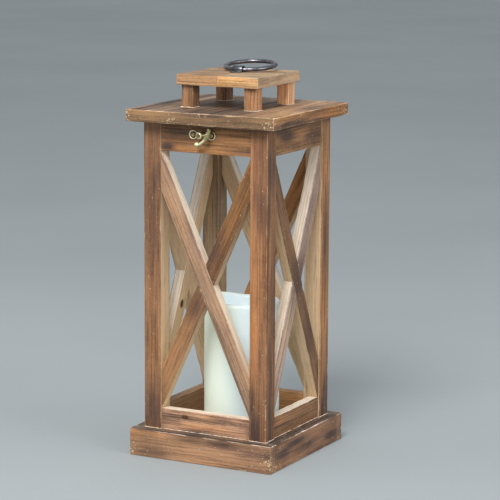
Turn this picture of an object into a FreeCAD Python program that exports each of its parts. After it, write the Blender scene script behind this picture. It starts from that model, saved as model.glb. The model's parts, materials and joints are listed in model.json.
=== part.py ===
"""A hanging wooden lantern with X-braced sides, a hinged lid, a hook latch, a lifting ring and an LED candle.

Millimetres. +Z is up, the latch is on the front (-Y) and the hinges are at the back (+Y).
The origin is the centre of the base, on the surface that the lantern stands on.
"""

import os

import FreeCAD, Part
import Sketcher
from FreeCAD import Placement, Rotation, Vector

SIDES = (("front", 0), ("right", 90), ("back", 180), ("left", 270))
CORNERS = (("front_left", 0), ("front_right", 90), ("back_right", 180), ("back_left", 270))

DIMENSIONS = (
    # the posts and the panels between them
    ("frame_width", 160),
    ("frame_height", 392),
    ("post_width", 22),
    ("batten", 12.7),
    ("panel_setback", 1.8),
    ("rail_height", 33),
    ("bottom_rail_foot", 24),
    ("brace_width", 19),
    # the skirt round the foot, and the floor that the candle stands on
    ("skirt_height", 32.6),
    ("skirt_thickness", 12.8),
    ("floor_thickness", 12),
    # the lid: a roof board, four blocks and a cap of two boards
    ("lid_gap", 0.4),
    ("roof_width", 191),
    ("roof_thickness", 14.4),
    ("block_width", 15.5),
    ("block_height", 26),
    ("block_reach", 48.4),
    ("cap_width", 105.8),
    ("cap_thickness", 12.6),
    # the ring and the saddle that holds it to the cap
    ("ring_radius", 29.3),
    ("ring_wire", 2.6),
    ("ring_tilt", 5),
    ("ring_rise", 3),
    ("saddle_bore", 3.7),
    ("saddle_metal", 1.2),
    ("saddle_width", 12.5),
    ("saddle_reach", 11),
    ("saddle_screw_side", 3.7),
    # the butt hinges
    ("hinge_spacing", 70),
    ("hinge_width", 25),
    ("hinge_metal", 1.2),
    ("hinge_axis_out", 81),
    ("hinge_axis_up", 389.6),
    ("knuckle_radius", 2.35),
    ("knuckle_gap", 0.3),
    ("knuckle_clear", 0.4),
    ("hinge_pin_radius", 1.1),
    ("hinge_pin_play", 0.06),
    ("frame_leaf_height", 17),
    ("lid_leaf_depth", 13.6),
    # the catch and the hook
    ("catch_side", -3.8),
    ("catch_up", 380.4),
    ("catch_half_span", 11.7),
    ("catch_lobe", 5.4),
    ("catch_metal", 1.5),
    ("stud_radius", 3.8),
    ("stud_reach", 8.9),
    ("pivot_side", 9.5),
    ("pivot_up", 387.4),
    ("pivot_radius", 1.1),
    ("pivot_play", 0.08),
    ("hook_metal", 2.4),
    ("hook_face", 88.4),
    ("hook_eye_radius", 2.1),
    ("hook_end_radius", 3.3),
    ("hook_play", 0.3),
    ("bracket_metal", 1.5),
    ("bracket_width", 16),
    ("bracket_depth", 8.5),
    ("bracket_front", 4.5),
    ("ear_reach", 2.6),
    ("bracket_screw_side", 5.4),
    ("rivet_head", 0.8),
    # the candle
    ("candle_right", 4.5),
    ("candle_back", 2.4),
    ("candle_radius", 44.6),
    ("candle_height", 158),
    ("candle_bowl_depth", 24),
    ("candle_rim", 5),
    ("core_radius", 30),
    ("core_height", 98),
    ("core_foot", 1.6),
    ("core_play", 0.2),
    ("flame_radius", 4.8),
    ("flame_height", 13),
    ("battery_radius", 7.1),
    ("battery_length", 50),
    ("battery_pitch", 18),
    ("battery_tip", 1.2),
    ("bay_width", 40),
    ("bay_depth", 20),
    ("bay_height", 62),
    ("cover_margin", 2),
    ("cover_thickness", 1.8),
    ("slider_length", 8.4),
    ("slider_depth", 5),
    ("slider_height", 3),
    ("slider_back", 22.5),
    ("slider_play", 0.4),
    ("switch_travel", 4),
    ("ridge_width", 2),
    ("ridge_height", 1.1),
    # fasteners
    ("brad_head", 1.1),
    ("brad_shank", 0.65),
    ("brad_length", 24),
    ("screw_head", 2.3),
    ("screw_shank", 1.2),
    ("screw_length", 9),
    ("head_height", 0.5),
    ("head_proud", 0.3),
)

# Lengths that follow from the sheet, as expressions of its cells.
CLEAR_WIDTH = "(Dims.frame_width - 2 * Dims.post_width)"
RAIL_TOP = "(Dims.bottom_rail_foot + Dims.rail_height)"
CLEAR_TOP = "(Dims.frame_height - Dims.rail_height)"
CLEAR_HEIGHT = f"({CLEAR_TOP} - {RAIL_TOP})"
CLEAR_DIAGONAL = f"(sqrt(pow({CLEAR_WIDTH}; 2) + pow({CLEAR_HEIGHT}; 2)))"
# A brace leans so that its two pointed ends sit right in opposite corners of the panel.
LEAN = f"(atan({CLEAR_WIDTH} / {CLEAR_HEIGHT}) + asin(Dims.brace_width / {CLEAR_DIAGONAL}))"
BRACE_CUT = f"(Dims.brace_width / sin({LEAN}))"
CROSSING_UP = f"(({CLEAR_TOP} + {RAIL_TOP}) / 2)"
CROSSING_OUT = f"({CLEAR_WIDTH} * {BRACE_CUT} / (2 * ({CLEAR_HEIGHT} - {BRACE_CUT})))"
PANEL_BACK = "(Dims.frame_width / 2 - Dims.panel_setback - Dims.batten)"
PANEL_FACE = "(Dims.frame_width / 2 - Dims.panel_setback)"
ROOF_FOOT = "(Dims.frame_height + Dims.lid_gap)"
ROOF_TOP = f"({ROOF_FOOT} + Dims.roof_thickness)"
CAP_FOOT = f"({ROOF_TOP} + Dims.block_height)"
CAP_TOP = f"({CAP_FOOT} + Dims.cap_thickness)"
RING_AXIS = f"({CAP_TOP} + Dims.ring_rise)"

doc = FreeCAD.newDocument("Lantern")
sheet = doc.addObject("Spreadsheet::Sheet", "Dims")
for row, (alias, value) in enumerate(DIMENSIONS, start=1):
    sheet.set(f"A{row}", alias)
    sheet.set(f"B{row}", str(value))
    sheet.setAlias(f"B{row}", alias)
doc.recompute()

sub_parts = []


def size(expression):
    """The present value of an expression of the sheet's cells."""
    return float(sheet.evalExpression(expression))


def keep(thing, label):
    """Names a finished sub-part and puts it on the list to write."""
    thing.Label = label
    sub_parts.append(thing)
    return thing


def turned(angle):
    """A placement turned about the lantern's upright centre line."""
    return Placement(Vector(), Rotation(Vector(0, 0, 1), angle))


# ---- sketched pieces ----


def sketch_on(body, plane, start="0"):
    """A sketch on one of the body's origin planes, moved along the plane's normal by start."""
    sketch = body.newObject("Sketcher::SketchObject", f"{body.Name}_sketch")
    origin_plane = next(f for f in body.Origin.OriginFeatures if f.Role == plane)
    sketch.AttachmentSupport = [(origin_plane, "")]
    sketch.MapMode = "FlatFace"
    sketch.setExpression("AttachmentOffset.Base.z", start)
    return sketch


def draw_outline(sketch, outline):
    """Closed straight outline whose corners are held at expressions of the sheet's cells."""
    corners = [Vector(size(across), size(up), 0) for across, up in outline]
    count = len(corners)
    for i in range(count):
        sketch.addGeometry(Part.LineSegment(corners[i], corners[(i + 1) % count]), False)
    for i in range(count):
        sketch.addConstraint(Sketcher.Constraint("Coincident", i, 2, (i + 1) % count, 1))
    for i, expressions in enumerate(outline):
        places = (("DistanceX", corners[i].x), ("DistanceY", corners[i].y))
        for (kind, value), expression in zip(places, expressions):
            held = sketch.addConstraint(Sketcher.Constraint(kind, -1, 1, i, 1, value))
            sketch.setExpression(f"Constraints[{held}]", expression)


def padded(label, plane, outline, start, depth, angle=0):
    """A flat piece: an outline padded along its plane's normal, then turned about the centre line."""
    body = doc.addObject("PartDesign::Body", label)
    sketch = sketch_on(body, plane, start)
    draw_outline(sketch, outline)
    pad = body.newObject("PartDesign::Pad", f"{label}_pad")
    pad.Profile = sketch
    pad.setExpression("Length", depth)
    body.Tip = pad
    body.Placement = turned(angle)
    return keep(body, label)


def revolved(label, outline, right="0", back="0"):
    """A round piece: half of its section, turned about an upright axis at right, back."""
    body = doc.addObject("PartDesign::Body", label)
    sketch = sketch_on(body, "XZ_Plane")
    draw_outline(sketch, outline)
    turn = body.newObject("PartDesign::Revolution", f"{label}_turn")
    turn.Profile = sketch
    turn.ReferenceAxis = (sketch, ["V_Axis"])
    turn.Angle = 360
    body.Tip = turn
    body.setExpression("Placement.Base.x", right)
    body.setExpression("Placement.Base.y", back)
    return keep(body, label)


def rectangle(left, right, low, high):
    return [(left, low), (right, low), (right, high), (left, high)]


def panel_piece(label, outline, angle):
    """A piece of one side's panel, drawn as on the front: across to the right and up."""
    return padded(label, "XZ_Plane", outline, PANEL_BACK, "Dims.batten", angle)


# ---- pieces from primitives ----


def bind(thing, expressions):
    for name, expression in expressions.items():
        thing.setExpression(name, expression)
    return thing


def block(name, low, dims):
    """A box from its lowest corner and its three sizes, all expressions."""
    sizes = dict(zip(("Length", "Width", "Height"), dims))
    places = {f"Placement.Base.{axis}": text for axis, text in zip("xyz", low)}
    return bind(doc.addObject("Part::Box", name), {**sizes, **places})


def rod(name, base, direction, radius, length):
    """A cylinder from the centre of its first end, along direction."""
    cylinder = doc.addObject("Part::Cylinder", name)
    cylinder.Placement = Placement(Vector(), Rotation(Vector(0, 0, 1), Vector(*direction)))
    places = {f"Placement.Base.{axis}": text for axis, text in zip("xyz", base)}
    return bind(cylinder, {"Radius": radius, "Height": length, **places})


def fused(name, shapes):
    fuse = doc.addObject("Part::MultiFuse", name)
    fuse.Shapes = shapes
    return fuse


def cut(name, base, tool):
    result = doc.addObject("Part::Cut", name)
    result.Base = base
    result.Tool = tool
    return result


def group(label, members):
    """Separate identical solids that share one node."""
    compound = doc.addObject("Part::Compound", label)
    compound.Links = members
    return keep(compound, label)


def fastener(name, kind, head_at, direction):
    """A headed pin: the head's outer face is centred at head_at, and the shank runs along direction."""
    head = rod(f"{name}_head", head_at, direction, f"Dims.{kind}_head", "Dims.head_height")
    shank = rod(f"{name}_shank", head_at, direction, f"Dims.{kind}_shank", f"Dims.{kind}_length")
    return fused(name, [head, shank])


def fasteners(label, kind, places):
    """All the fasteners of one kind in one group: places is a list of (head_at, direction)."""
    return group(label, [fastener(f"{label}_{i}", kind, *place) for i, place in enumerate(places)])


# ---- the frame ----


def make_frame():
    half = "Dims.frame_width / 2"
    inner = f"({half} - Dims.post_width)"
    post = rectangle(f"-{half}", f"-{inner}", f"-{half}", f"-{inner}")
    for corner, angle in CORNERS:
        padded(f"{corner}_post", "XY_Plane", post, "0", "Dims.frame_height", angle)

    left = f"-{CLEAR_WIDTH} / 2"
    right = f"{CLEAR_WIDTH} / 2"
    low_rail = rectangle(left, right, "Dims.bottom_rail_foot", RAIL_TOP)
    high_rail = rectangle(left, right, CLEAR_TOP, "Dims.frame_height")
    # One brace runs through from corner to corner, and the other is two halves that butt on it.
    long_brace = [
        (left, CLEAR_TOP),
        (left, f"{CLEAR_TOP} - {BRACE_CUT}"),
        (right, RAIL_TOP),
        (right, f"{RAIL_TOP} + {BRACE_CUT}"),
    ]
    upper_brace = [
        ("0", f"{CROSSING_UP} + {BRACE_CUT} / 2"),
        (CROSSING_OUT, CROSSING_UP),
        (right, f"{CLEAR_TOP} - {BRACE_CUT}"),
        (right, CLEAR_TOP),
    ]
    lower_brace = [
        ("0", f"{CROSSING_UP} - {BRACE_CUT} / 2"),
        (f"-{CROSSING_OUT}", CROSSING_UP),
        (left, f"{RAIL_TOP} + {BRACE_CUT}"),
        (left, RAIL_TOP),
    ]
    for side, angle in SIDES:
        panel_piece(f"{side}_bottom_rail", low_rail, angle)
        panel_piece(f"{side}_top_rail", high_rail, angle)
        panel_piece(f"{side}_long_brace", long_brace, angle)
        panel_piece(f"{side}_upper_brace", upper_brace, angle)
        panel_piece(f"{side}_lower_brace", lower_brace, angle)


def make_base():
    half = "Dims.frame_width / 2"
    full = f"({half} + Dims.skirt_thickness)"
    # The front and back skirt boards cover the ends of the left and right ones.
    for side, angle in SIDES:
        reach = full if side in ("front", "back") else half
        outline = rectangle(f"-{reach}", reach, "0", "Dims.skirt_height")
        padded(f"{side}_skirt_board", "XZ_Plane", outline, half, "Dims.skirt_thickness", angle)

    notch = f"({half} - Dims.post_width)"
    floor = [
        (f"-{notch}", f"-{half}"), (notch, f"-{half}"), (notch, f"-{notch}"), (half, f"-{notch}"),
        (half, notch), (notch, notch), (notch, half), (f"-{notch}", half),
        (f"-{notch}", notch), (f"-{half}", notch), (f"-{half}", f"-{notch}"), (f"-{notch}", f"-{notch}"),
    ]
    floor_foot = "Dims.bottom_rail_foot - Dims.floor_thickness"
    padded("floor_board", "XY_Plane", floor, floor_foot, "Dims.floor_thickness")


def make_frame_brads():
    """Brads through the skirt boards into the posts and the floor board."""
    face = "(Dims.frame_width / 2 + Dims.skirt_thickness)"
    corner = "(Dims.frame_width / 2 - Dims.post_width / 2)"
    low = "Dims.skirt_height * 0.22"
    high = "Dims.skirt_height * 0.8"
    floor_line = "Dims.bottom_rail_foot - Dims.floor_thickness / 2"
    places = []
    for sign, inward in (("-", 1), ("", -1)):
        for across in (f"-{corner}", corner):
            for up in (low, high):
                places.append(((across, f"{sign}{face}", up), (0, inward, 0)))
                places.append(((f"{sign}{face}", across, up), (inward, 0, 0)))
        places.append((("0", f"{sign}{face}", floor_line), (0, inward, 0)))
        places.append(((f"{sign}{face}", "0", floor_line), (inward, 0, 0)))
    fasteners("frame_brads", "brad", places)


# ---- the lid ----


def make_lid():
    half = "Dims.roof_width / 2"
    outline = rectangle(f"-{half}", half, f"-{half}", half)
    padded("roof_board", "XY_Plane", outline, ROOF_FOOT, "Dims.roof_thickness")

    outer = "Dims.block_reach"
    inner = "(Dims.block_reach - Dims.block_width)"
    leg = rectangle(f"-{outer}", f"-{inner}", f"-{outer}", f"-{inner}")
    for corner, angle in CORNERS:
        padded(f"{corner}_block", "XY_Plane", leg, ROOF_TOP, "Dims.block_height", angle)

    edge = "Dims.cap_width / 2"
    for side, left, right in (("left", f"-{edge}", "0"), ("right", "0", edge)):
        board = rectangle(left, right, f"-{edge}", edge)
        padded(f"{side}_cap_board", "XY_Plane", board, CAP_FOOT, "Dims.cap_thickness")


def make_lid_brads():
    """Brads down through the cap into the blocks, and up through the roof board into them."""
    centre = "(Dims.block_reach - Dims.block_width / 2)"
    places = []
    for across in (f"-{centre}", centre):
        for back in (f"-{centre}", centre):
            places.append(((across, back, CAP_TOP), (0, 0, -1)))
            places.append(((across, back, ROOF_FOOT), (0, 0, 1)))
    fasteners("lid_brads", "brad", places)


# ---- the ring ----


def make_ring():
    tilt = size("Dims.ring_tilt")
    ring = doc.addObject("Part::Torus", "ring_handle")
    ring.Placement = Placement(Vector(), Rotation(Vector(1, 0, 0), tilt))
    bind(ring, {
        "Radius1": "Dims.ring_radius",
        "Radius2": "Dims.ring_wire",
        "Placement.Base.y": "Dims.ring_radius * cos(Dims.ring_tilt * 1 deg)",
        "Placement.Base.z": f"{RING_AXIS} + Dims.ring_radius * sin(Dims.ring_tilt * 1 deg)",
    })
    keep(ring, "ring_handle")


def make_ring_saddle():
    """A strap bent over the ring's wire, with a foot screwed down in front of it and one behind."""
    left = "-Dims.saddle_width / 2"
    wide = "Dims.saddle_width"
    outer = "(Dims.saddle_bore + Dims.saddle_metal)"
    axis = (left, "0", RING_AXIS)
    arch = rod("saddle_arch", axis, (1, 0, 0), outer, wide)
    legs = block("saddle_legs", (left, f"-{outer}", CAP_TOP), (wide, f"2 * {outer}", "Dims.ring_rise"))
    feet = block(
        "saddle_feet",
        (left, "-Dims.saddle_reach", CAP_TOP),
        (wide, "2 * Dims.saddle_reach", "Dims.saddle_metal"),
    )
    # The hollow is the bore and the way down from it, and the arch's lower half goes with it.
    bore = rod("saddle_bore", axis, (1, 0, 0), "Dims.saddle_bore", wide)
    way = block(
        "saddle_way",
        (left, "-Dims.saddle_bore", f"{CAP_TOP} - {outer}"),
        (wide, "2 * Dims.saddle_bore", f"Dims.ring_rise + {outer}"),
    )
    below = block(
        "saddle_below",
        (left, "-Dims.saddle_reach", f"{CAP_TOP} - 2 * {outer}"),
        (wide, "2 * Dims.saddle_reach", f"2 * {outer}"),
    )
    solid = fused("saddle_solid", [arch, legs, feet])
    hollow = fused("saddle_hollow", [bore, way, below])
    keep(cut("ring_saddle", solid, hollow), "ring_saddle")

    middle = f"(Dims.saddle_reach + {outer}) / 2"
    head_top = f"{CAP_TOP} + Dims.saddle_metal + Dims.head_proud"
    places = [
        ((f"{side}Dims.saddle_screw_side", f"{sign}{middle}", head_top), (0, 0, -1))
        for side in ("-", "")
        for sign in ("-", "")
    ]
    fasteners("ring_saddle_screws", "screw", places)


# ---- the hinges ----


def hinge_leaf(name, centre, plate, wide, spans, play):
    """A leaf: its plate, less the other leaf's share of the barrel, with knuckles on it along X.

    spans gives each knuckle as (start, length) from the hinge's left end.
    """
    start = f"({centre} - {wide} / 2)"
    axis = ("Dims.hinge_axis_out", "Dims.hinge_axis_up")
    knuckles = [
        rod(f"{name}_knuckle_{i}", (f"{start} + {at}", *axis), (1, 0, 0), "Dims.knuckle_radius", length)
        for i, (at, length) in enumerate(spans)
    ]
    body = fused(f"{name}_body", [plate, *knuckles])
    bore = rod(f"{name}_bore", (start, *axis), (1, 0, 0), f"Dims.hinge_pin_radius + {play}", wide)
    return cut(name, body, bore)


def make_hinges():
    wide = "Dims.hinge_width"
    knuckle = f"(({wide} - 2 * Dims.knuckle_gap) / 3)"
    inset = f"({knuckle} + Dims.knuckle_gap)"
    metal = "Dims.hinge_metal"
    clear_radius = "(Dims.knuckle_radius + Dims.knuckle_clear)"
    frame_leaves, lid_leaves, pins = [], [], []
    frame_screws, lid_screws = [], []
    for side, sign in (("left", "-"), ("right", "")):
        centre = f"({sign}Dims.hinge_spacing / 2)"
        start = f"{centre} - {wide} / 2"
        # The frame's leaf lies on the back of the top rail and stops short of the lid's knuckle.
        plate_low = (start, PANEL_FACE, "Dims.hinge_axis_up - Dims.frame_leaf_height")
        frame_plate = cut(
            f"{side}_frame_plate_cut",
            block(f"{side}_frame_plate", plate_low, (wide, metal, "Dims.frame_leaf_height")),
            block(
                f"{side}_frame_plate_gap",
                (f"{start} + {knuckle}", PANEL_FACE, f"Dims.hinge_axis_up - {clear_radius}"),
                (f"{knuckle} + 2 * Dims.knuckle_gap", "2 * Dims.knuckle_radius", "Dims.frame_leaf_height"),
            ),
        )
        # The lid's leaf lies under the roof's overhang and has the middle knuckle alone.
        lid_plate = fused(f"{side}_lid_plate", [
            block(
                f"{side}_lid_plate_flat",
                (start, f"Dims.hinge_axis_out + {clear_radius}", f"{ROOF_FOOT} - {metal}"),
                (wide, f"Dims.lid_leaf_depth - {clear_radius}", metal),
            ),
            block(
                f"{side}_lid_plate_neck",
                (f"{start} + {inset}", "Dims.hinge_axis_out", f"{ROOF_FOOT} - {metal}"),
                (knuckle, f"{clear_radius} + {metal}", metal),
            ),
        ])
        frame_spans = [("0", knuckle), (f"{wide} - {knuckle}", knuckle)]
        frame_leaves.append(hinge_leaf(f"{side}_frame_leaf", centre, frame_plate, wide, frame_spans, "0"))
        lid_spans = [(inset, knuckle)]
        lid_leaves.append(
            hinge_leaf(f"{side}_lid_leaf", centre, lid_plate, wide, lid_spans, "Dims.hinge_pin_play")
        )
        pins.append(rod(
            f"{side}_pin",
            (start, "Dims.hinge_axis_out", "Dims.hinge_axis_up"),
            (1, 0, 0),
            "Dims.hinge_pin_radius",
            wide,
        ))
        for across in ("-", ""):
            screw_side = f"{centre} {across or '+'} {wide} * 0.32"
            leaf_face = f"{PANEL_FACE} + {metal} + Dims.head_proud"
            screw_up = "Dims.hinge_axis_up - Dims.frame_leaf_height * 0.66"
            frame_screws.append(((screw_side, leaf_face, screw_up), (0, -1, 0)))
            screw_back = "Dims.hinge_axis_out + Dims.lid_leaf_depth * 0.62"
            leaf_foot = f"{ROOF_FOOT} - {metal} - Dims.head_proud"
            lid_screws.append(((screw_side, screw_back, leaf_foot), (0, 0, 1)))
    group("hinge_frame_leaves", frame_leaves)
    group("hinge_lid_leaves", lid_leaves)
    group("hinge_pins", pins)
    fasteners("hinge_frame_screws", "screw", frame_screws)
    fasteners("hinge_lid_screws", "screw", lid_screws)


# ---- the catch and the hook ----


def make_catch():
    """A plate with a screw in each rounded end, and the stud that the hook goes round."""
    metal = "Dims.catch_metal"
    face = f"(-{PANEL_FACE})"
    lobes = [
        rod(
            f"catch_lobe_{i}",
            (f"Dims.catch_side {sign} Dims.catch_half_span", face, "Dims.catch_up"),
            (0, -1, 0),
            "Dims.catch_lobe",
            metal,
        )
        for i, sign in enumerate("-+")
    ]
    middle = rod(
        "catch_middle", ("Dims.catch_side", face, "Dims.catch_up"), (0, -1, 0), "Dims.catch_lobe", metal
    )
    waist = block(
        "catch_waist",
        (
            "Dims.catch_side - Dims.catch_half_span",
            f"{face} - {metal}",
            "Dims.catch_up - Dims.catch_lobe * 0.6",
        ),
        ("2 * Dims.catch_half_span", metal, "Dims.catch_lobe * 1.2"),
    )
    keep(fused("catch_plate", [*lobes, middle, waist]), "catch_plate")

    plate_face = f"{face} - {metal}"
    shank = rod(
        "stud_shank",
        ("Dims.catch_side", plate_face, "Dims.catch_up"),
        (0, -1, 0),
        "Dims.stud_radius",
        "Dims.stud_reach",
    )
    doc.recompute()
    rounded = doc.addObject("Part::Fillet", "stud_rounded")
    rounded.Base = shank
    radius = size("Dims.stud_radius * 0.4")
    far = size(f"{plate_face} - Dims.stud_reach")
    edges = [i for i, e in enumerate(shank.Shape.Edges, 1) if abs(e.CenterOfMass.y - far) < 1e-6]
    rounded.Edges = [(i, radius, radius) for i in edges]
    keep(rounded, "catch_stud")

    head_face = f"{plate_face} - Dims.head_proud"
    places = [
        ((f"Dims.catch_side {sign} Dims.catch_half_span", head_face, "Dims.catch_up"), (0, 1, 0))
        for sign in "-+"
    ]
    fasteners("catch_screws", "screw", places)


def make_hook_bracket():
    """A plate screwed up into the roof's front overhang, its ear behind the hook, and the rivet."""
    metal = "Dims.bracket_metal"
    side, up = "Dims.pivot_side", "Dims.pivot_up"
    ear_front = "(-Dims.hook_face + Dims.hook_metal + Dims.hook_play)"
    plate = block(
        "bracket_plate",
        (f"{side} - Dims.bracket_width / 2", f"{ear_front} - Dims.bracket_front", f"{ROOF_FOOT} - {metal}"),
        ("Dims.bracket_width", "Dims.bracket_depth", metal),
    )
    ear = block(
        "bracket_ear",
        (f"{side} - Dims.ear_reach", ear_front, f"{up} - Dims.ear_reach"),
        ("2 * Dims.ear_reach", metal, f"{ROOF_FOOT} - {up} + Dims.ear_reach"),
    )
    hole = rod("bracket_hole", (side, ear_front, up), (0, 1, 0), "Dims.pivot_radius", metal)
    keep(cut("hook_bracket", fused("bracket_solid", [plate, ear]), hole), "hook_bracket")

    head_back = (side, "-Dims.hook_face - Dims.hook_play", up)
    head = rod("rivet_head", head_back, (0, -1, 0), "Dims.pivot_radius * 1.6", "Dims.rivet_head")
    shank_length = f"Dims.hook_metal + 2 * Dims.hook_play + {metal}"
    shank = rod("rivet_shank", head_back, (0, 1, 0), "Dims.pivot_radius", shank_length)
    keep(fused("hook_rivet", [head, shank]), "hook_rivet")

    screw_front = f"{ear_front} - Dims.bracket_front / 3"
    head_foot = f"{ROOF_FOOT} - {metal} - Dims.head_proud"
    places = [
        ((f"{side} {sign} Dims.bracket_screw_side", screw_front, head_foot), (0, 0, 1))
        for sign in "-+"
    ]
    fasteners("hook_bracket_screws", "screw", places)


def make_hook():
    """A flat hook: an eye, a neck, and a crescent that curls under the catch's stud to a round end.

    Its outline is worked out from the pivot and the stud, across to the right and up.
    """
    pivot = Vector(size("Dims.pivot_side"), 0, size("Dims.pivot_up"))
    stud = Vector(size("Dims.catch_side"), 0, size("Dims.catch_up"))
    metal = size("Dims.hook_metal")
    face = size("-Dims.hook_face")
    clear = size("Dims.stud_radius") + 1.6
    neck = size("Dims.hook_eye_radius")
    end = Vector(stud.x - 2.4, 0, stud.z - 10.6)

    def around_stud(radius, degrees):
        """A point at a distance from the stud, at an angle up from the right."""
        return stud + Rotation(Vector(0, -1, 0), degrees).multVec(Vector(radius, 0, 0))

    def arc(start, through, finish):
        return Part.Arc(start, through, finish).toShape()

    eye_left = pivot + Vector(-neck, 0, 0)
    eye_right = pivot + Vector(neck, 0, 0)
    eye_top = pivot + Vector(0, 0, neck)
    outer_start = around_stud(15.2, 10)
    outer_end = end + Vector(2.6, 0, -1.4)
    inner_end = end + Vector(1.6, 0, 2.2)
    inner_start = around_stud(clear + 0.7, -28)
    spur = around_stud(clear - 0.4, 10)
    shoulder = Vector(eye_left.x, 0, spur.z + 2.6)
    outline = Part.Wire([
        arc(eye_left, eye_top, eye_right),
        Part.LineSegment(eye_right, outer_start).toShape(),
        arc(outer_start, around_stud(11.3, -33), outer_end),
        Part.LineSegment(outer_end, inner_end).toShape(),
        arc(inner_end, around_stud(clear + 1.3, -62), inner_start),
        Part.LineSegment(inner_start, spur).toShape(),
        Part.LineSegment(spur, shoulder).toShape(),
        Part.LineSegment(shoulder, eye_left).toShape(),
    ])
    plate = Part.Face(outline).extrude(Vector(0, -metal, 0))
    plate.translate(Vector(0, face + metal, 0))
    bore_radius = size("Dims.pivot_radius + Dims.pivot_play")
    bore = Part.makeCylinder(bore_radius, 3 * metal, pivot + Vector(0, face - metal, 0), Vector(0, 1, 0))
    ball_radius = size("Dims.hook_end_radius")
    ball = Part.makeSphere(ball_radius, end + Vector(0, face + metal / 2, 0), Vector(0, 1, 0))
    hook = doc.addObject("Part::Feature", "latch_hook")
    hook.Shape = plate.cut(bore).fuse(ball).removeSplitter()
    hook.Placement = Placement()
    keep(hook, "latch_hook")


# ---- the candle ----


def make_candle_wax():
    """A wax shell with a hollowed top, and the plastic flame that stands in the hollow."""
    right, back = "Dims.candle_right", "Dims.candle_back"
    foot = "Dims.bottom_rail_foot"
    top = f"({foot} + Dims.candle_height)"
    bowl = f"({top} - Dims.candle_bowl_depth)"
    bowl_radius = "(Dims.candle_radius - 2 * Dims.candle_rim)"
    core_room = "(Dims.core_radius + Dims.core_play)"
    core_top = f"({foot} + Dims.core_foot + Dims.core_height)"
    room_top = f"{core_top} + Dims.core_play"
    flame_hole = "(Dims.flame_radius + Dims.core_play)"
    revolved("candle_shell", [
        (core_room, foot),
        ("Dims.candle_radius", foot),
        ("Dims.candle_radius", top),
        ("Dims.candle_radius - Dims.candle_rim", top),
        (bowl_radius, f"{bowl} + Dims.candle_rim"),
        (f"{bowl_radius} - Dims.candle_rim", bowl),
        (flame_hole, bowl),
        (flame_hole, room_top),
        (core_room, room_top),
    ], right, back)
    # The flame's stem reaches down to the core. Above the wax it has a waist, a belly and a point.
    tall = "Dims.flame_height"
    revolved("candle_flame", [
        ("0", core_top),
        ("Dims.flame_radius", core_top),
        ("Dims.flame_radius", f"{bowl} + {tall} * 0.05"),
        ("Dims.flame_radius * 0.75", f"{bowl} + {tall} * 0.13"),
        ("Dims.flame_radius * 0.95", f"{bowl} + {tall} * 0.37"),
        ("Dims.flame_radius * 0.55", f"{bowl} + {tall} * 0.7"),
        ("0", f"{bowl} + {tall}"),
    ], right, back)


def make_candle_works():
    """The core with its battery bay and switch slot, both open below, and what goes in them."""
    right, back = "Dims.candle_right", "Dims.candle_back"
    foot = "(Dims.bottom_rail_foot + Dims.core_foot)"
    bay_low = (f"{right} - Dims.bay_width / 2", f"{back} - Dims.bay_depth / 2", foot)
    bay_size = ("Dims.bay_width", "Dims.bay_depth", "Dims.bay_height")
    cover_low = (f"{bay_low[0]} - Dims.cover_margin", f"{bay_low[1]} - Dims.cover_margin", foot)
    cover_size = (
        "Dims.bay_width + 2 * Dims.cover_margin",
        "Dims.bay_depth + 2 * Dims.cover_margin",
        "Dims.cover_thickness",
    )
    slot_length = "(Dims.slider_length + Dims.switch_travel + 2 * Dims.slider_play)"
    slot_left = f"({right} - {slot_length} / 2)"
    slider_front = f"({back} - Dims.slider_back)"
    slot_low = (slot_left, f"{slider_front} - Dims.slider_play", foot)
    slot_depth = "Dims.slider_depth + 2 * Dims.slider_play"
    slot_size = (slot_length, slot_depth, "Dims.slider_height + 2 * Dims.slider_play")
    cup = rod("core_cup", (right, back, foot), (0, 0, 1), "Dims.core_radius", "Dims.core_height")
    hollows = fused("core_hollows", [
        block("core_bay", bay_low, bay_size),
        block("core_cover_seat", cover_low, cover_size),
        block("core_slot", slot_low, slot_size),
    ])
    keep(cut("candle_core", cup, hollows), "candle_core")
    keep(block("candle_battery_cover", cover_low, cover_size), "candle_battery_cover")

    batteries = []
    can_foot = f"({foot} + Dims.cover_thickness + Dims.battery_tip)"
    tip_foot = f"{can_foot} + Dims.battery_length"
    for i, sign in enumerate("-+"):
        middle = f"{right} {sign} Dims.battery_pitch / 2"
        can_at, tip_at = (middle, back, can_foot), (middle, back, tip_foot)
        can = rod(f"battery_can_{i}", can_at, (0, 0, 1), "Dims.battery_radius", "Dims.battery_length")
        tip = rod(f"battery_tip_{i}", tip_at, (0, 0, 1), "Dims.battery_radius * 0.37", "Dims.battery_tip")
        batteries.append(fused(f"battery_{i}", [can, tip]))
    group("candle_batteries", batteries)

    slider_left = f"({slot_left} + Dims.slider_play)"
    slider = block(
        "slider_bar",
        (slider_left, slider_front, f"{foot} + Dims.slider_play"),
        ("Dims.slider_length", "Dims.slider_depth", "Dims.slider_height"),
    )
    ridge = block(
        "slider_ridge",
        (
            f"{slider_left} + (Dims.slider_length - Dims.ridge_width) / 2",
            slider_front,
            f"{foot} + Dims.slider_play - Dims.ridge_height",
        ),
        ("Dims.ridge_width", "Dims.slider_depth", "Dims.ridge_height"),
    )
    keep(fused("candle_switch", [slider, ridge]), "candle_switch")


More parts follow.
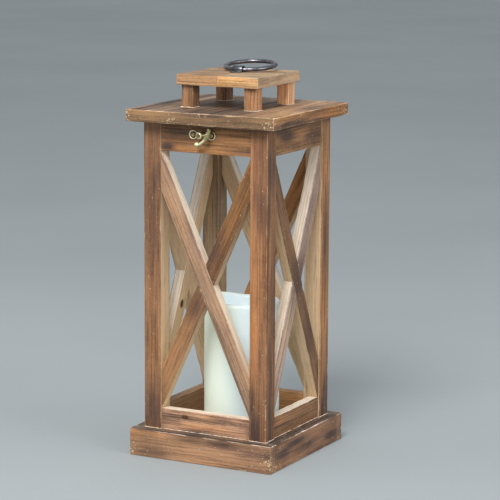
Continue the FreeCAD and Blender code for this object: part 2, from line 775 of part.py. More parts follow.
def write_sub_parts():
    """Writes each sub-part after checking that every object of the document is sound."""
    doc.recompute()
    for thing in doc.Objects:
        if "Invalid" in thing.State or "Error" in thing.State:
            raise RuntimeError(f"{thing.Name} failed: {thing.State}")
    os.makedirs("parts", exist_ok=True)
    for thing in sub_parts:
        if thing.Shape.isNull() or not thing.Shape.isValid():
            raise RuntimeError(f"{thing.Label} has no valid shape")
    for thing in sub_parts:
        thing.Shape.exportStep(f"parts/{thing.Label}.step")
        box = thing.Shape.BoundBox
        print(
            f"{thing.Label:24s} solids {len(thing.Shape.Solids)}  volume {thing.Shape.Volume:10.1f}  "
            f"z {box.ZMin:7.2f} to {box.ZMax:7.2f}"
        )
    print(f"{len(sub_parts)} sub-parts")


make_frame()
make_base()
make_frame_brads()
make_lid()
make_lid_brads()
make_ring()
make_ring_saddle()
make_hinges()
make_catch()
make_hook_bracket()
make_hook()
make_candle_wax()
make_candle_works()
write_sub_parts()
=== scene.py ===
"""The looks of a hanging lantern: a stained wooden frame and lid, a ring, a latch and a wax candle.

Lengths are in metres. x runs to the lantern's right, y to its back and z up. Every piece is built
in its place, inside the box of the CAD node that it stands for.
"""

import itertools
import json
import math

import bpy
import numpy as np
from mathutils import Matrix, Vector


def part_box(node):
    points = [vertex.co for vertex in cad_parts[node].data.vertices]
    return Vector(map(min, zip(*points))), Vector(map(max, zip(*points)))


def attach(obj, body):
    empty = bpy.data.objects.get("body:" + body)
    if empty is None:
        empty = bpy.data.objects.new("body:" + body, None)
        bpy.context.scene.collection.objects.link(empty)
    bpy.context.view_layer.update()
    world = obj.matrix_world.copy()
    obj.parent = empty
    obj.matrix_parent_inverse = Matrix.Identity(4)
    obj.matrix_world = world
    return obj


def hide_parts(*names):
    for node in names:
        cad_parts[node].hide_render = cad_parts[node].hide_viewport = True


MM = 0.001
X_AXIS, Y_AXIS, Z_AXIS = 0, 1, 2

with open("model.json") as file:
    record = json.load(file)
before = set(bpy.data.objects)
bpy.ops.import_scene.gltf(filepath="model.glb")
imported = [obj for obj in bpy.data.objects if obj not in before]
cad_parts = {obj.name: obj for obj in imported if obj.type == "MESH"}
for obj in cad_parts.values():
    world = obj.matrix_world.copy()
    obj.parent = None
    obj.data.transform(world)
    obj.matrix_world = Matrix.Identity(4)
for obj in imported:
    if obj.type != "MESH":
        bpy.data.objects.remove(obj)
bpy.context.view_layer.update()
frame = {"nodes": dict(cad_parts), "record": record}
body_of_node = {
    node: body for body, nodes in frame["record"]["behaviour"]["bodies"].items() for node in nodes
}


# ---- smooth random values ----

# odd whole numbers that scramble a lattice corner's place into a random value
PLACE_HASH = (73856093, 19349663, 83492791)
SEED_HASH = 40503
MIX_HASH = 1274126177


def value_noise(points, seed):
    """Smooth random values from -1 to 1, one lattice cell per unit of the points."""
    cell = np.floor(points).astype(np.int64)
    part = points - cell
    part = part * part * (3 - 2 * part)
    total = np.zeros(len(points))
    for corner in itertools.product((0, 1), repeat=3):
        mixed = np.bitwise_xor.reduce((cell + corner) * PLACE_HASH, axis=1) ^ (seed * SEED_HASH)
        mixed = (mixed ^ (mixed >> 13)) * MIX_HASH
        value = ((mixed ^ (mixed >> 16)) & 0xFFFF) / 32767.5 - 1
        weight = np.prod(np.where(corner, part, 1 - part), axis=1)
        total += value * weight
    return total


def fractal_noise(points, seed, octaves=3):
    """Value noise with finer layers on top, each half as strong."""
    total = np.zeros(len(points))
    for octave in range(octaves):
        total += value_noise(points * 2**octave, seed + octave) / 2**octave
    return total / (2 - 2 ** (1 - octaves))


def noise_on_grid(seed, *places):
    """Fractal noise on the grid whose x, y and z the three arrays give between them."""
    spots = np.stack(np.broadcast_arrays(*places), axis=-1)
    return fractal_noise(spots.reshape(-1, 3), seed).reshape(spots.shape[:-1])


def smooth_step(values, low, high):
    """A smooth rise from 0, where a value is at or below low, to 1 at high."""
    part = np.clip((values - low) / (high - low), 0, 1)
    return part * part * (3 - 2 * part)


# ---- meshes ----


def node_points(node):
    """The places of a CAD node's vertices."""
    return np.array([vertex.co for vertex in frame["nodes"][node].data.vertices])


def add_attributes(mesh, attributes):
    """Stores a number or a vector at each point of a mesh, for its material."""
    for key, values in attributes.items():
        vector = values.ndim == 2
        layer = mesh.attributes.new(key, "FLOAT_VECTOR" if vector else "FLOAT", "POINT")
        layer.data.foreach_set("vector" if vector else "value", values.astype(np.float32).ravel())


def shade_smooth(mesh):
    mesh.polygons.foreach_set("use_smooth", [True] * len(mesh.polygons))


def new_piece(name, points, faces, attributes=None):
    """A smooth-shaded mesh object with the given values at its points."""
    mesh = bpy.data.meshes.new(name)
    mesh.from_pydata(np.asarray(points, float).tolist(), [], faces)
    mesh.update()
    add_attributes(mesh, attributes or {})
    shade_smooth(mesh)
    piece = bpy.data.objects.new(name, mesh)
    bpy.context.scene.collection.objects.link(piece)
    return piece


def stand_for(piece, node, slot):
    """The piece is shown instead of a CAD node, moves with its body and wears a slot's material."""
    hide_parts(node)
    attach(piece, body_of_node[node])
    finish_piece(piece, slot)


def finish_piece(piece, slot):
    """The piece wears the material of one of the record's slots."""
    piece.data.materials.clear()
    piece.data.materials.append(materials[slot])


def lattice_shell(counts):
    """Which points of a lattice are on its outside, and the quads that join them."""
    outside = np.ones(counts, bool)
    outside[1:-1, 1:-1, 1:-1] = False
    index = np.full(counts, -1)
    index[outside] = np.arange(outside.sum())
    quads = []
    for axis in (X_AXIS, Y_AXIS, Z_AXIS):
        layers = np.moveaxis(index, axis, 0)
        for end in (0, -1):
            sheet = layers[end]
            ring = [sheet[:-1, :-1], sheet[1:, :-1], sheet[1:, 1:], sheet[:-1, 1:]]
            if (end == 0) != (axis == Y_AXIS):
                ring.reverse()
            quads.append(np.stack([corner.ravel() for corner in ring], axis=1))
    return outside, np.concatenate(quads).tolist()


NEAR_STEPS = np.array([0, 0.3, 0.7, 1.2, 1.9]) * MM


def fine_steps(length, coarse, extra=()):
    """Distances from 0 to a length: close together at both ends, and coarse apart in between."""
    near = NEAR_STEPS
    middle = length - 2 * near[-1]
    between = np.linspace(near[-1], length - near[-1], max(2, round(middle / coarse) + 1))
    steps = np.concatenate([near[:-1], between, length - near[-2::-1], np.array(extra)])
    return np.unique(np.round(steps, 7))


# an outline ends this far from the axis that it is turned about
AXIS_GAP = 0.02 * MM


def full_turn(count):
    return np.linspace(0, 2 * math.pi, count, endpoint=False)


def revolve(profile, segments, centre, wobble=None):
    """Points and quads of a closed outline of (radius, height) turned about an upright axis.

    The outline goes round so that its first stretch runs outward along its foot.
    """
    angles = full_turn(segments)
    outline = np.array(profile)
    radius = np.repeat(outline[:, 0][:, None], segments, axis=1)
    height = np.repeat(outline[:, 1][:, None], segments, axis=1)
    if wobble is not None:
        radius, height = wobble(radius, height, angles[None, :])
    points = np.stack([
        centre[0] + radius * np.cos(angles),
        centre[1] + radius * np.sin(angles),
        centre[2] + height,
    ], axis=-1)
    return points.reshape(-1, 3), ring_quads(len(outline), segments)


def foot_of(low, high):
    """The middle of a box's underside."""
    return (low.x + high.x) / 2, (low.y + high.y) / 2, low.z


def faced(points, way, base):
    """Points made round the z axis, turned so that it runs along a way from a base."""
    spin = np.array(Vector(way).to_track_quat("Z", "Y").to_matrix())
    return points @ spin.T + np.array(base)


def ring_quads(rows, columns):
    """Quads of a grid that closes on itself both ways."""
    quads = []
    for row in range(rows):
        below = (row + 1) % rows
        for column in range(columns):
            after = (column + 1) % columns
            quads.append((
                row * columns + column,
                row * columns + after,
                below * columns + after,
                below * columns + column,
            ))
    return quads


def tube_faces(rows, columns):
    """Quads of a tube, and a face over each of its ends."""
    sides = ring_quads(rows, columns)[:(rows - 1) * columns]
    last = tuple(range((rows - 1) * columns, rows * columns))
    return sides + [tuple(range(columns))[::-1], last]


def smooth_path(stops, count):
    """Rows of values that run smoothly through the given stops."""
    stops = np.array(stops, float)
    padded = np.concatenate([[2 * stops[0] - stops[1]], stops, [2 * stops[-1] - stops[-2]]])
    rows = []
    for place in np.linspace(0, len(stops) - 1, count):
        first = min(int(place), len(stops) - 2)
        part = place - first
        before, start, end, after = padded[first:first + 4]
        tangent, next_tangent = (end - before) / 2, (after - start) / 2
        rows.append(
            (2 * part**3 - 3 * part**2 + 1) * start
            + (part**3 - 2 * part**2 + part) * tangent
            + (3 * part**2 - 2 * part**3) * end
            + (part**3 - part**2) * next_tangent
        )
    return np.array(rows)


def joined(parts):
    """One set of points and faces out of several."""
    points, faces = [], []
    for part_points, part_faces in parts:
        start = sum(len(earlier) for earlier in points)
        points.append(np.asarray(part_points, float))
        faces += [tuple(index + start for index in face) for face in part_faces]
    return np.concatenate(points), faces


def islands(node):
    """The points of each separate solid in a CAD node."""
    places, index = np.unique(np.round(node_points(node), 6), axis=0, return_inverse=True)
    index = index.ravel()
    group = list(range(len(places)))

    def root(item):
        while group[item] != item:
            group[item] = group[group[item]]
            item = group[item]
        return item

    for edge in frame["nodes"][node].data.edges:
        group[root(index[edge.vertices[0]])] = root(index[edge.vertices[1]])
    roots = np.array([root(item) for item in range(len(places))])
    return [places[roots == each] for each in np.unique(roots)]


# ---- wood: which way the grain runs, how it's stained, and its boards ----

PALE_WOOD = (0.655, 0.46, 0.28)
# bare wood painted lighter where it faces up, as lit by the sky
SKY_LIT_WOOD = (0.84, 0.71, 0.57)
GLUE = (0.74, 0.65, 0.55)
# the stain's mean colour on each kind of board, and on the boards that differ, where a few also hold
# painted light and shade
STAINS = {
    "post": (0.285, 0.132, 0.058),
    "rail": (0.28, 0.14, 0.066),
    "long_brace": (0.32, 0.18, 0.105),
    "upper_brace": (0.275, 0.132, 0.064),
    "lower_brace": (0.27, 0.125, 0.058),
    "skirt_board": (0.31, 0.165, 0.09),
    "floor_board": (0.5, 0.38, 0.26),
    "roof_board": (0.33, 0.175, 0.078),
    "block": (0.31, 0.165, 0.082),
    "cap_board": (0.40, 0.225, 0.11),
}
STAIN_AND_LIGHT_OF_NODE = {
    "front_left_post": (0.245, 0.12, 0.056),
    "back_right_post": (0.34, 0.165, 0.072),
    "back_left_post": (0.285, 0.148, 0.07),
    "back_long_brace": (0.34, 0.16, 0.06),
    "front_top_rail": (0.31, 0.148, 0.06),
    "front_bottom_rail": (0.40, 0.225, 0.138),
    "front_skirt_board": (0.35, 0.188, 0.10),
    "right_skirt_board": (0.275, 0.142, 0.076),
    "front_right_block": (0.395, 0.195, 0.093),
    # painted light: the back right block's stain is lightened against the shade that falls on it
    "back_right_block": (0.42, 0.22, 0.105),
    "back_bottom_rail": (0.53, 0.275, 0.125),
    "left_bottom_rail": (0.30, 0.175, 0.10),
    "front_long_brace": (0.335, 0.202, 0.124),
    "front_upper_brace": (0.215, 0.10, 0.038),
    "front_lower_brace": (0.30, 0.15, 0.067),
    "right_long_brace": (0.195, 0.10, 0.05),
    "right_upper_brace": (0.32, 0.215, 0.165),
    "right_lower_brace": (0.385, 0.265, 0.20),
    # painted shade: the right top rail's stain is darkened for the shade under the roof
    "right_top_rail": (0.285, 0.143, 0.064),
    "right_bottom_rail": (0.215, 0.108, 0.052),
    "left_cap_board": (0.39, 0.215, 0.105),
    "right_cap_board": (0.50, 0.295, 0.145),
}
# boards of the frame that were stained on the inside too
STAINED_ALL_ROUND = ("back_left_post", "back_bottom_rail", "left_bottom_rail")
# faces of a board whose colour is lighter or darker than the rest: node, axis, side, factors. Most
# differ in stain; the back right block's faces are painted light
FACE_TINTS_AND_LIGHT = (
    ("back_left_post", X_AXIS, 1, (1.12, 1.42, 1.7)),
    ("back_left_post", Y_AXIS, -1, (1.12, 1.42, 1.7)),
    ("right_cap_board", X_AXIS, 1, (0.95, 1.08, 1.35)),
    ("right_cap_board", Z_AXIS, 1, (1.0, 1.12, 1.25)),
    ("left_cap_board", Z_AXIS, 1, (1.0, 1.12, 1.25)),
    ("roof_board", X_AXIS, 1, (1.3, 1.17, 1.0)),
    ("roof_board", Y_AXIS, -1, (0.97, 1.0, 1.0)),
    ("roof_board", Z_AXIS, 1, (1.3, 1.45, 1.7)),
    # painted light: the back right block's faces are lightened against the shade that falls on them
    ("back_right_block", Y_AXIS, -1, (2.4, 2.5, 2.6)),
    ("back_right_block", X_AXIS, 1, (1.5, 1.6, 1.75)),
    ("front_right_block", X_AXIS, 1, (1.25, 1.3, 1.38)),
    ("front_left_block", Y_AXIS, -1, (0.95, 0.95, 1.0)),
)
# boards whose figure is fainter than on the rest of their kind
CALM_BOARDS = {"back_left_post": 0.55, "back_bottom_rail": 0.55, "left_bottom_rail": 0.55}
# how dark the upward faces are, which catch the most stain and dirt; on the roof this also holds the
# cap's painted shade
TOP_DIRT_AND_SHADE = {"skirt_board": 1.0, "roof_board": 1.0, "cap_board": 0.45}
# knots: share of the length and of the width where each one lies, and its radius
KNOTS = {
    "front_bottom_rail": (0.27, 0.22, 2.3),
    "left_long_brace": (0.35, 0.5, 3.0),
    "back_skirt_board": (0.3, 0.4, 3.4),
    "back_long_brace": (0.6, 0.5, 2.8),
    "left_skirt_board": (0.55, 0.45, 3.2),
}
# darkened patches in the stain, in millimetres: centre, reach, and reach up and down. Most are scorches;
# those along the top rails and round the latch plate, under the roof, are painted shade
SCORCHES_AND_SHADE = (
    # painted shade round the top of the latch plate, under the roof
    ((-4, -78, 390), 17, 9),
    ((2, -78, 385), 9, 7),
    ((-2, -78, 212), 20, 30),
    ((9, -78, 247), 18, 24),
    ((-17, -78, 187), 15, 20),
    ((-54, -78, 330), 12, 34),
    ((56, -78, 76), 14, 26),
    ((-69, -80, 46), 15, 40),
    ((-69, -80, 300), 10, 70),
    ((69, -80, 44), 16, 34),
    ((80, -70, 60), 12, 60),
    ((80, -70, 350), 12, 50),
    ((80, -62, 190), 7, 90),
    # painted shade along the top of the right top rail, under the roof
    ((78, -30, 378), 24, 12),
    ((78, -40, 388), 30, 12),
    ((78, 0, 393), 150, 9),
    ((80, -80, 300), 12, 30),
    ((80, -72, 130), 8, 30),
    ((78, 40, 372), 20, 14),
    ((78, 0, 212), 22, 30),
    ((78, 34, 150), 14, 40),
    ((80, 70, 40), 16, 70),
    ((80, 70, 240), 8, 60),
    ((93, 0, 14), 42, 6),
    ((93, -66, 18), 34, 8),
    ((93, 66, 12), 30, 8),
    ((-66, -93, 8), 26, 8),
    ((93, -84, 22), 16, 12),
    ((93, -30, 24), 34, 5),
    ((30, -93, 28), 30, 5),
    ((20, -95, 404), 60, 4),
    ((95, -60, 396), 30, 5),
    ((95, 20, 404), 40, 4),
    # painted shade on the left of the front top rail, under the roof
    ((-38, -78, 380), 30, 14),
    ((-50, -78, 366), 12, 12),
    ((-10, -78, 30), 26, 8),
    ((-78, 0, 208), 24, 34),
    ((0, 78, 208), 24, 34),
)
# boards on which those patches show faintly
LIGHTLY_SCORCHED = ("front_long_brace",)
# patches where knocks have left pale flecks, given in the same way
FLECKED = (
    ((-94, -94, 400), 10, 9),
    ((-36, -95, 398), 8, 4),
    ((0, -95, 405), 10, 3),
    ((91, -95, 400), 14, 9),
    ((95, -30, 405), 14, 3),
    ((95, 84, 400), 12, 6),
    ((-90, -92, 8), 10, 8),
    ((90, -92, 12), 14, 14),
    ((-55, -63, 439), 8, 5),
)
# a way from a knot that is far enough to be clear of it
NO_KNOT = (9.0, 9.0, 9.0)
# boards whose grain doesn't run along their longest edge
GRAIN_AXES = {"roof_board": Y_AXIS, "left_cap_board": X_AXIS, "right_cap_board": X_AXIS}
SIDE_NAMES = {"front": (Y_AXIS, -1), "back": (Y_AXIS, 1), "left": (X_AXIS, -1), "right": (X_AXIS, 1)}


# how far apart a board's points lie in the middle of its length and of its other sizes
ALONG_STEP = 5.0 * MM
ACROSS_STEP = 2.4 * MM
# where the posts stand in the skirt, and the blocks on the roof
SKIRT_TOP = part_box("front_skirt_board")[1].z
ROOF_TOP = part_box("roof_board")[1].z
# posts have rows of points close together round the top of the skirt
POST_LEVELS = [SKIRT_TOP + offset * MM for offset in (-1.2, -0.5, 0, 0.5, 1.2)]
# how far pale flecks reach from an edge, and how many more there are in a flecked patch
FLECKS_WITHIN = 2.6 * MM
FLECKED_FACTOR = 1.8
LIGHT_SCORCH_FACTOR = 0.25


class Board:
    """A straight eight-cornered piece of wood, and a fine mesh over the whole of its outside.

    The grain runs along its longest edge, unless GRAIN_AXES says otherwise. Each point of the mesh
    has its place along the grain, the width and the thickness, and its place in the world.
    """

    def __init__(self, node, kind):
        self.node = node
        self.kind = kind
        self.corners = np.unique(np.round(node_points(node), 6), axis=0)
        extent = np.ptp(self.corners, axis=0)
        grain_axis = GRAIN_AXES.get(node)
        thin = [axis for axis in np.argsort(extent, kind="stable") if axis != grain_axis][0]
        if kind in ("post", "block"):
            thin = Y_AXIS
        grain = self._grain_direction(thin, grain_axis)
        self.axes = np.stack([grain, np.cross(np.eye(3)[thin], grain), np.eye(3)[thin]])
        along, across, up = (self.corners @ way for way in self.axes)
        self.across_range = across.min(), across.max()
        self.up_range = up.min(), up.max()
        low, high = (np.abs(across - limit) < 0.1 * MM for limit in self.across_range)
        self.starts = along[low].min(), along[high].min()
        self.ends = along[low].max(), along[high].max()
        self._make_points()

    def _grain_direction(self, thin, grain_axis):
        """The way of the longest edge that isn't along the thin axis."""
        if grain_axis is not None:
            return np.eye(3)[grain_axis]
        flat = np.unique(np.round(np.delete(self.corners, thin, axis=1), 6), axis=0)
        middle = flat - flat.mean(axis=0)
        ring = flat[np.argsort(np.arctan2(middle[:, 1], middle[:, 0]))]
        edges = np.roll(ring, -1, axis=0) - ring
        longest = edges[np.argmax(np.linalg.norm(edges, axis=1))]
        longest = longest / np.linalg.norm(longest)
        if longest[-1] < 0 or (abs(longest[-1]) < 1e-6 and longest[0] < 0):
            longest = -longest
        return np.insert(longest, thin, 0)

    def _make_points(self):
        """The points, the quads that join them, and how far they are from the pairs of faces."""
        starts, ends = self.length_at(np.array(self.across_range))
        length = float(np.mean(ends - starts))
        levels = POST_LEVELS if self.kind == "post" else ()
        extra = [level - float(starts.min()) for level in levels]
        steps = [fine_steps(length, ALONG_STEP, extra) / length]
        for low, high in (self.across_range, self.up_range):
            steps.append(fine_steps(high - low, ACROSS_STEP) + low)
        outside, self.quads = lattice_shell([len(each) for each in steps])
        share, across, up = (grid[outside] for grid in np.meshgrid(*steps, indexing="ij"))
        starts, ends = self.length_at(across)
        self.place = np.stack([starts + share * (ends - starts), across, up], axis=1)
        self.world = self.place @ self.axes
        flat_lows = np.tile((self.across_range[0], self.up_range[0]), (len(across), 1))
        flat_highs = np.tile((self.across_range[1], self.up_range[1]), (len(across), 1))
        self.lows = np.column_stack([starts, flat_lows])
        self.highs = np.column_stack([ends, flat_highs])
        self.gaps = np.minimum(self.place - self.lows, self.highs - self.place)
        self.to_edge = np.sort(self.gaps, axis=1)[:, 1]

    def length_at(self, across):
        """Where the board starts and ends along its grain, at places across its width."""
        part = (across - self.across_range[0]) / (self.across_range[1] - self.across_range[0])
        start = self.starts[0] + part * (self.starts[1] - self.starts[0])
        end = self.ends[0] + part * (self.ends[1] - self.ends[0])
        return start, end

    def open_side(self):
        """1 at most points, and little at the cap's seam, where the edges are neither eased nor worn."""
        if self.kind != "cap_board":
            return np.ones(len(self.place))
        return 0.12 + 0.88 * smooth_step(np.abs(self.world[:, X_AXIS]), 1.5 * MM, 5 * MM)


def chip_edges(board, dent, count, rng):
    """The dents with chips knocked out of the edges, and how far those lay the wood bare."""
    on_edge = np.flatnonzero((board.to_edge < 1e-6) & (board.open_side() > 0.9))
    bare = np.zeros(len(dent))
    for _ in range(count):
        centre = board.place[rng.choice(on_edge)]
        reach = rng.uniform(1.2, 3.4) * MM
        stretch = np.array([rng.uniform(0.3, 0.8), 1, 1])
        away = np.linalg.norm((board.place - centre) * stretch, axis=1)
        near = np.clip(1 - away / reach, 0, 1)
        dent = dent + rng.uniform(0.3, 0.9) * MM * near**1.5
        bare = np.maximum(bare, rng.uniform(0.2, 0.8) * smooth_step(near, 0.15, 0.6))
    return dent, bare


def weathered(board, seed, rng, edge, end_edge, relief, chips):
    """The board's points with uneven eased edges and dented faces, and where chips lay it bare."""
    open_side = board.open_side()
    uneven = 1 + 0.45 * fractal_noise(board.world * 55, seed)
    uneven = (uneven + 0.25 * value_noise(board.world * 240, seed + 9)) * open_side
    eased = np.stack([end_edge * MM * uneven, edge * MM * uneven, edge * MM * uneven], axis=1)
    core = np.clip(board.place, board.lows + eased, board.highs - eased)
    away = (board.place - core) / eased
    away /= np.linalg.norm(away, axis=1)[:, None]
    dent = 0.5 + 0.5 * fractal_noise(board.place * (12, 90, 90), seed + 3)
    dent, chipped = chip_edges(board, relief * MM * dent * open_side, chips, rng)
    return (core + away * (eased - dent[:, None])) @ board.axes, chipped


def board_looks(board, chipped, seed, rng, wear_width, plain):
    """What the material needs to know at each of the board's points."""
    world, to_edge = board.world, board.to_edge
    bleed = (0.55 + 0.5 * fractal_noise(world * 60, seed + 5)) * MM
    bare = smooth_step(bare_depth(board), bleed, bleed + 0.8 * MM)
    worn = 0.7 + 0.6 * fractal_noise(world * 45, seed + 7)
    flecked = smooth_step(fractal_noise(world * 26, seed + 11), -0.25, 0.45)
    flecked = flecked * np.exp(-to_edge / FLECKS_WITHIN)
    pith = rng.uniform(25, 60) * MM
    turn = rng.uniform(0, 2 * math.pi)
    shift = (rng.uniform(0, 4), pith * math.cos(turn), pith * math.sin(turn))
    middle = (0, np.mean(board.across_range), np.mean(board.up_range))
    tone = 1 + 0.07 * rng.uniform(-1, 1)
    scorch_factor = LIGHT_SCORCH_FACTOR if board.node in LIGHTLY_SCORCHED else 1
    return {
        "grain": board.place - middle + shift,
        # the stain's colour, with painted light on some faces
        "stain": stain_and_face_light(board) * tone,
        "bare": np.clip(bare + chipped, 0, 1),
        "wear": np.exp(-to_edge / (wear_width * MM)) * worn * board.open_side(),
        "near_edge": flecked + FLECKED_FACTOR * patches_at(world, FLECKED),
        "plain": np.full(len(world), CALM_BOARDS.get(board.node, plain)),
        # painted sky light on the bare sides that face up
        "sky_lit": sky_lit_side(board),
        # scorched patches, and patches of painted shade under the roof
        "scorch_and_shade": patches_at(world, SCORCHES_AND_SHADE) * scorch_factor,
        "end_grain": (board.gaps[:, 0] < 1e-7).astype(float),
        # dirt on the upward faces, and painted shade on the roof
        "dark": top_dirt_and_shade(board),
        "pale_line": foot_line(board),
        "to_knot": knot_offset(board),
    }


def make_board(node, kind, slot, seed, edge, end_edge, relief, chips, wear_width, plain):
    """A board with eased, uneven edges, a few chips and slightly uneven faces."""
    rng = np.random.default_rng(seed)
    board = Board(node, kind)
    points, chipped = weathered(board, seed, rng, edge, end_edge, relief, chips)
    looks = board_looks(board, chipped, seed, rng, wear_width, plain)
    stand_for(new_piece("wood_" + node, points, board.quads, looks), node, slot)


def bare_depth(board):
    """How far each point is from the faces that were stained, or 0 where all of them were."""
    world = board.world
    if board.kind in ("roof_board", "block", "cap_board") or board.node in STAINED_ALL_ROUND:
        return np.zeros(len(world))
    low, high = board.corners.min(axis=0), board.corners.max(axis=0)
    faces = []
    if board.kind == "post":
        for axis in (X_AXIS, Y_AXIS):
            outer = high[axis] if high[axis] + low[axis] > 0 else low[axis]
            faces.append(np.abs(world[:, axis] - outer))
    else:
        axis, sign = SIDE_NAMES[board.node.split("_")[0]]
        faces.append(np.abs(world[:, axis] - (high[axis] if sign > 0 else low[axis])))
    if board.node == "back_long_brace":
        faces.append(np.abs(world[:, Y_AXIS] - low[Y_AXIS]))
    if board.kind == "skirt_board":
        along = board.place[:, 0]
        faces += [high[Z_AXIS] - world[:, Z_AXIS], along - board.lows[:, 0], board.highs[:, 0] - along]
    return np.min(faces, axis=0)


def on_face(reach):
    """1 on the face where the reach is highest, and 0 from a little under it."""
    return smooth_step(reach, reach.max() - 0.9 * MM, reach.max() - 0.1 * MM)


def stain_and_face_light(board):
    """The stain's colour at each point, with the faces that differ, some of them by painted light."""
    stain = STAIN_AND_LIGHT_OF_NODE.get(board.node, STAINS[board.kind])
    stain = np.tile(stain, (len(board.world), 1))
    for node, axis, side, factors in FACE_TINTS_AND_LIGHT:
        if node == board.node:
            share = on_face(board.world[:, axis] * side)[:, None]
            stain = stain * (1 - share + share * np.array(factors))
    return stain


def sky_lit_side(board):
    """The bare side of a brace or rail that faces up is painted lighter, as lit by the sky; it is 1
    there.
    """
    upward = board.axes[1, Z_AXIS]
    if abs(upward) < 0.1:
        return np.zeros(len(board.place))
    return on_face(board.place[:, 1] * math.copysign(1, upward))


def top_dirt_and_shade(board):
    """How dark each point of the upward face is. On the roof it is dirt and the cap's painted shade,
    which thins out toward its right side.
    """
    share = on_face(board.world[:, Z_AXIS]) * TOP_DIRT_AND_SHADE.get(board.kind, 0.0)
    if board.kind == "roof_board":
        share = share * (1 - 0.75 * smooth_step(board.world[:, X_AXIS], 10 * MM, 80 * MM))
    return share


def knot_offset(board):
    """Each point's way from the board's knot, or a long way off where there is none."""
    if board.node not in KNOTS:
        return np.tile(NO_KNOT, (len(board.place), 1))
    along_share, across_share, radius = KNOTS[board.node]
    across = board.across_range[0] + across_share * (board.across_range[1] - board.across_range[0])
    start, end = board.length_at(across)
    centre = (start + along_share * (end - start), across, np.mean(board.up_range))
    return (board.place - centre) / (radius * MM)


def patches_at(world, patches):
    """How deep each point lies in any of the patches, from 0 to 1."""
    share = np.zeros(len(world))
    for centre, reach, upward in patches:
        offset = (world - np.array(centre) * MM) / (np.array([reach, reach, upward]) * MM)
        share = np.maximum(share, np.exp(-np.sum(offset**2, axis=1)))
    return share


def foot_line(board):
    """The thin pale line where a post stands in the skirt, or a block on the roof."""
    foot = {"post": SKIRT_TOP, "block": ROOF_TOP}.get(board.kind)
    if foot is None:
        return np.zeros(len(board.world))
    return np.clip(1 - np.abs(board.world[:, Z_AXIS] - foot) / (1.1 * MM), 0, 1)


# ---- materials ----


class Material:
    """A material under construction, with short ways to add and join its nodes."""

    def __init__(self, name, **constants):
        self.material = bpy.data.materials.new(name)
        self.material.use_nodes = True
        self.tree = self.material.node_tree
        self.shader = self.tree.nodes["Principled BSDF"]
        self.surface(**constants)

    def feed(self, socket, value):
        if isinstance(value, bpy.types.NodeSocket):
            self.tree.links.new(value, socket)
        else:
            socket.default_value = (*value, 1) if socket.type == "RGBA" else value

    def surface(self, **values):
        """Values or links for the shader, with spaces in its names written as _."""
        for key, value in values.items():
            self.feed(self.shader.inputs[key.replace("_", " ")], value)

    def add(self, kind, inputs, output=0, **settings):
        node = self.tree.nodes.new(kind)
        for key, value in settings.items():
            setattr(node, key, value)
        for key, value in inputs.items():
            self.feed(node.inputs[key], value)
        return node.outputs[output]

    def attribute(self, name, output="Fac"):
        return self.add("ShaderNodeAttribute", {}, output, attribute_name=name)

    def position(self):
        return self.add("ShaderNodeTexCoord", {}, "Object")

    def scaled(self, vector, scale):
        return self.add("ShaderNodeVectorMath", {0: vector, 1: scale}, operation="MULTIPLY")

    def noise(self, vector, scale, detail=2.0, rough=0.5):
        inputs = {"Vector": self.scaled(vector, scale), "Scale": 1, "Detail": detail, "Roughness": rough}
        return self.add("ShaderNodeTexNoise", inputs, "Fac")

    def math(self, operation, first, second=0, clamp=False):
        return self.add("ShaderNodeMath", {0: first, 1: second}, operation=operation, use_clamp=clamp)

    def times(self, first, second):
        return self.math("MULTIPLY", first, second)

    def plus(self, first, second):
        return self.math("ADD", first, second)

    def weighed(self, *parts):
        """The sum of values, each times its weight."""
        total = self.times(*parts[0])
        for value, weight in parts[1:]:
            total = self.plus(total, self.times(value, weight))
        return total

    def spread(self, value, low, high, to_low=0.0, to_high=1.0):
        """A value mapped from one range to another, held inside the second."""
        inputs = {"Value": value, "From Min": low, "From Max": high, "To Min": to_low, "To Max": to_high}
        return self.add("ShaderNodeMapRange", inputs, interpolation_type="SMOOTHSTEP")

    def mix(self, share, first, second, blend="MIX"):
        inputs = {0: share, 6: first, 7: second}
        return self.add("ShaderNodeMix", inputs, 2, data_type="RGBA", blend_type=blend)

    def tinted(self, colour, factors):
        return self.mix(1.0, colour, factors, "MULTIPLY")

    def grey(self, value):
        return self.add("ShaderNodeCombineColor", {"Red": value, "Green": value, "Blue": value})

    def bump(self, height, strength, distance):
        inputs = {"Strength": strength, "Distance": distance, "Height": height}
        self.feed(self.shader.inputs["Normal"], self.add("ShaderNodeBump", inputs))


# between these sums of its layers, the wood's figure goes from dark to bright
FIGURE_RANGE = (2.1, 3.3)
# the gap between the rings of a wave texture whose scale is 1
WAVE_GAP = 0.314
# the colour of char, also used for the painted shade in some patches
CHAR_AND_SHADE = (0.085, 0.048, 0.036)
DIRT_AND_SHADE_DARK = (0.03, 0.022, 0.019)
DIRT_AND_SHADE_PALE = (0.115, 0.083, 0.066)
END_STAIN = (0.20, 0.135, 0.08)
KNOT_DARK = (0.05, 0.025, 0.015)
KNOT_PALE = (0.13, 0.062, 0.03)
KNOT_HALO = (0.20, 0.085, 0.035)
RAW_RING = (0.42, 0.27, 0.155)
RAW_STREAK = (0.50, 0.33, 0.20)
# factors of the stain's colour in its more purple and its more golden streaks, and of a colour
# where wood is rubbed or has open pores
PURPLE = (0.68, 0.66, 0.80)
GOLDEN = (1.22, 1.10, 0.92)
RUBBED = (1.06, 1.08, 1.12)
PORES = (0.36, 0.3, 0.27)


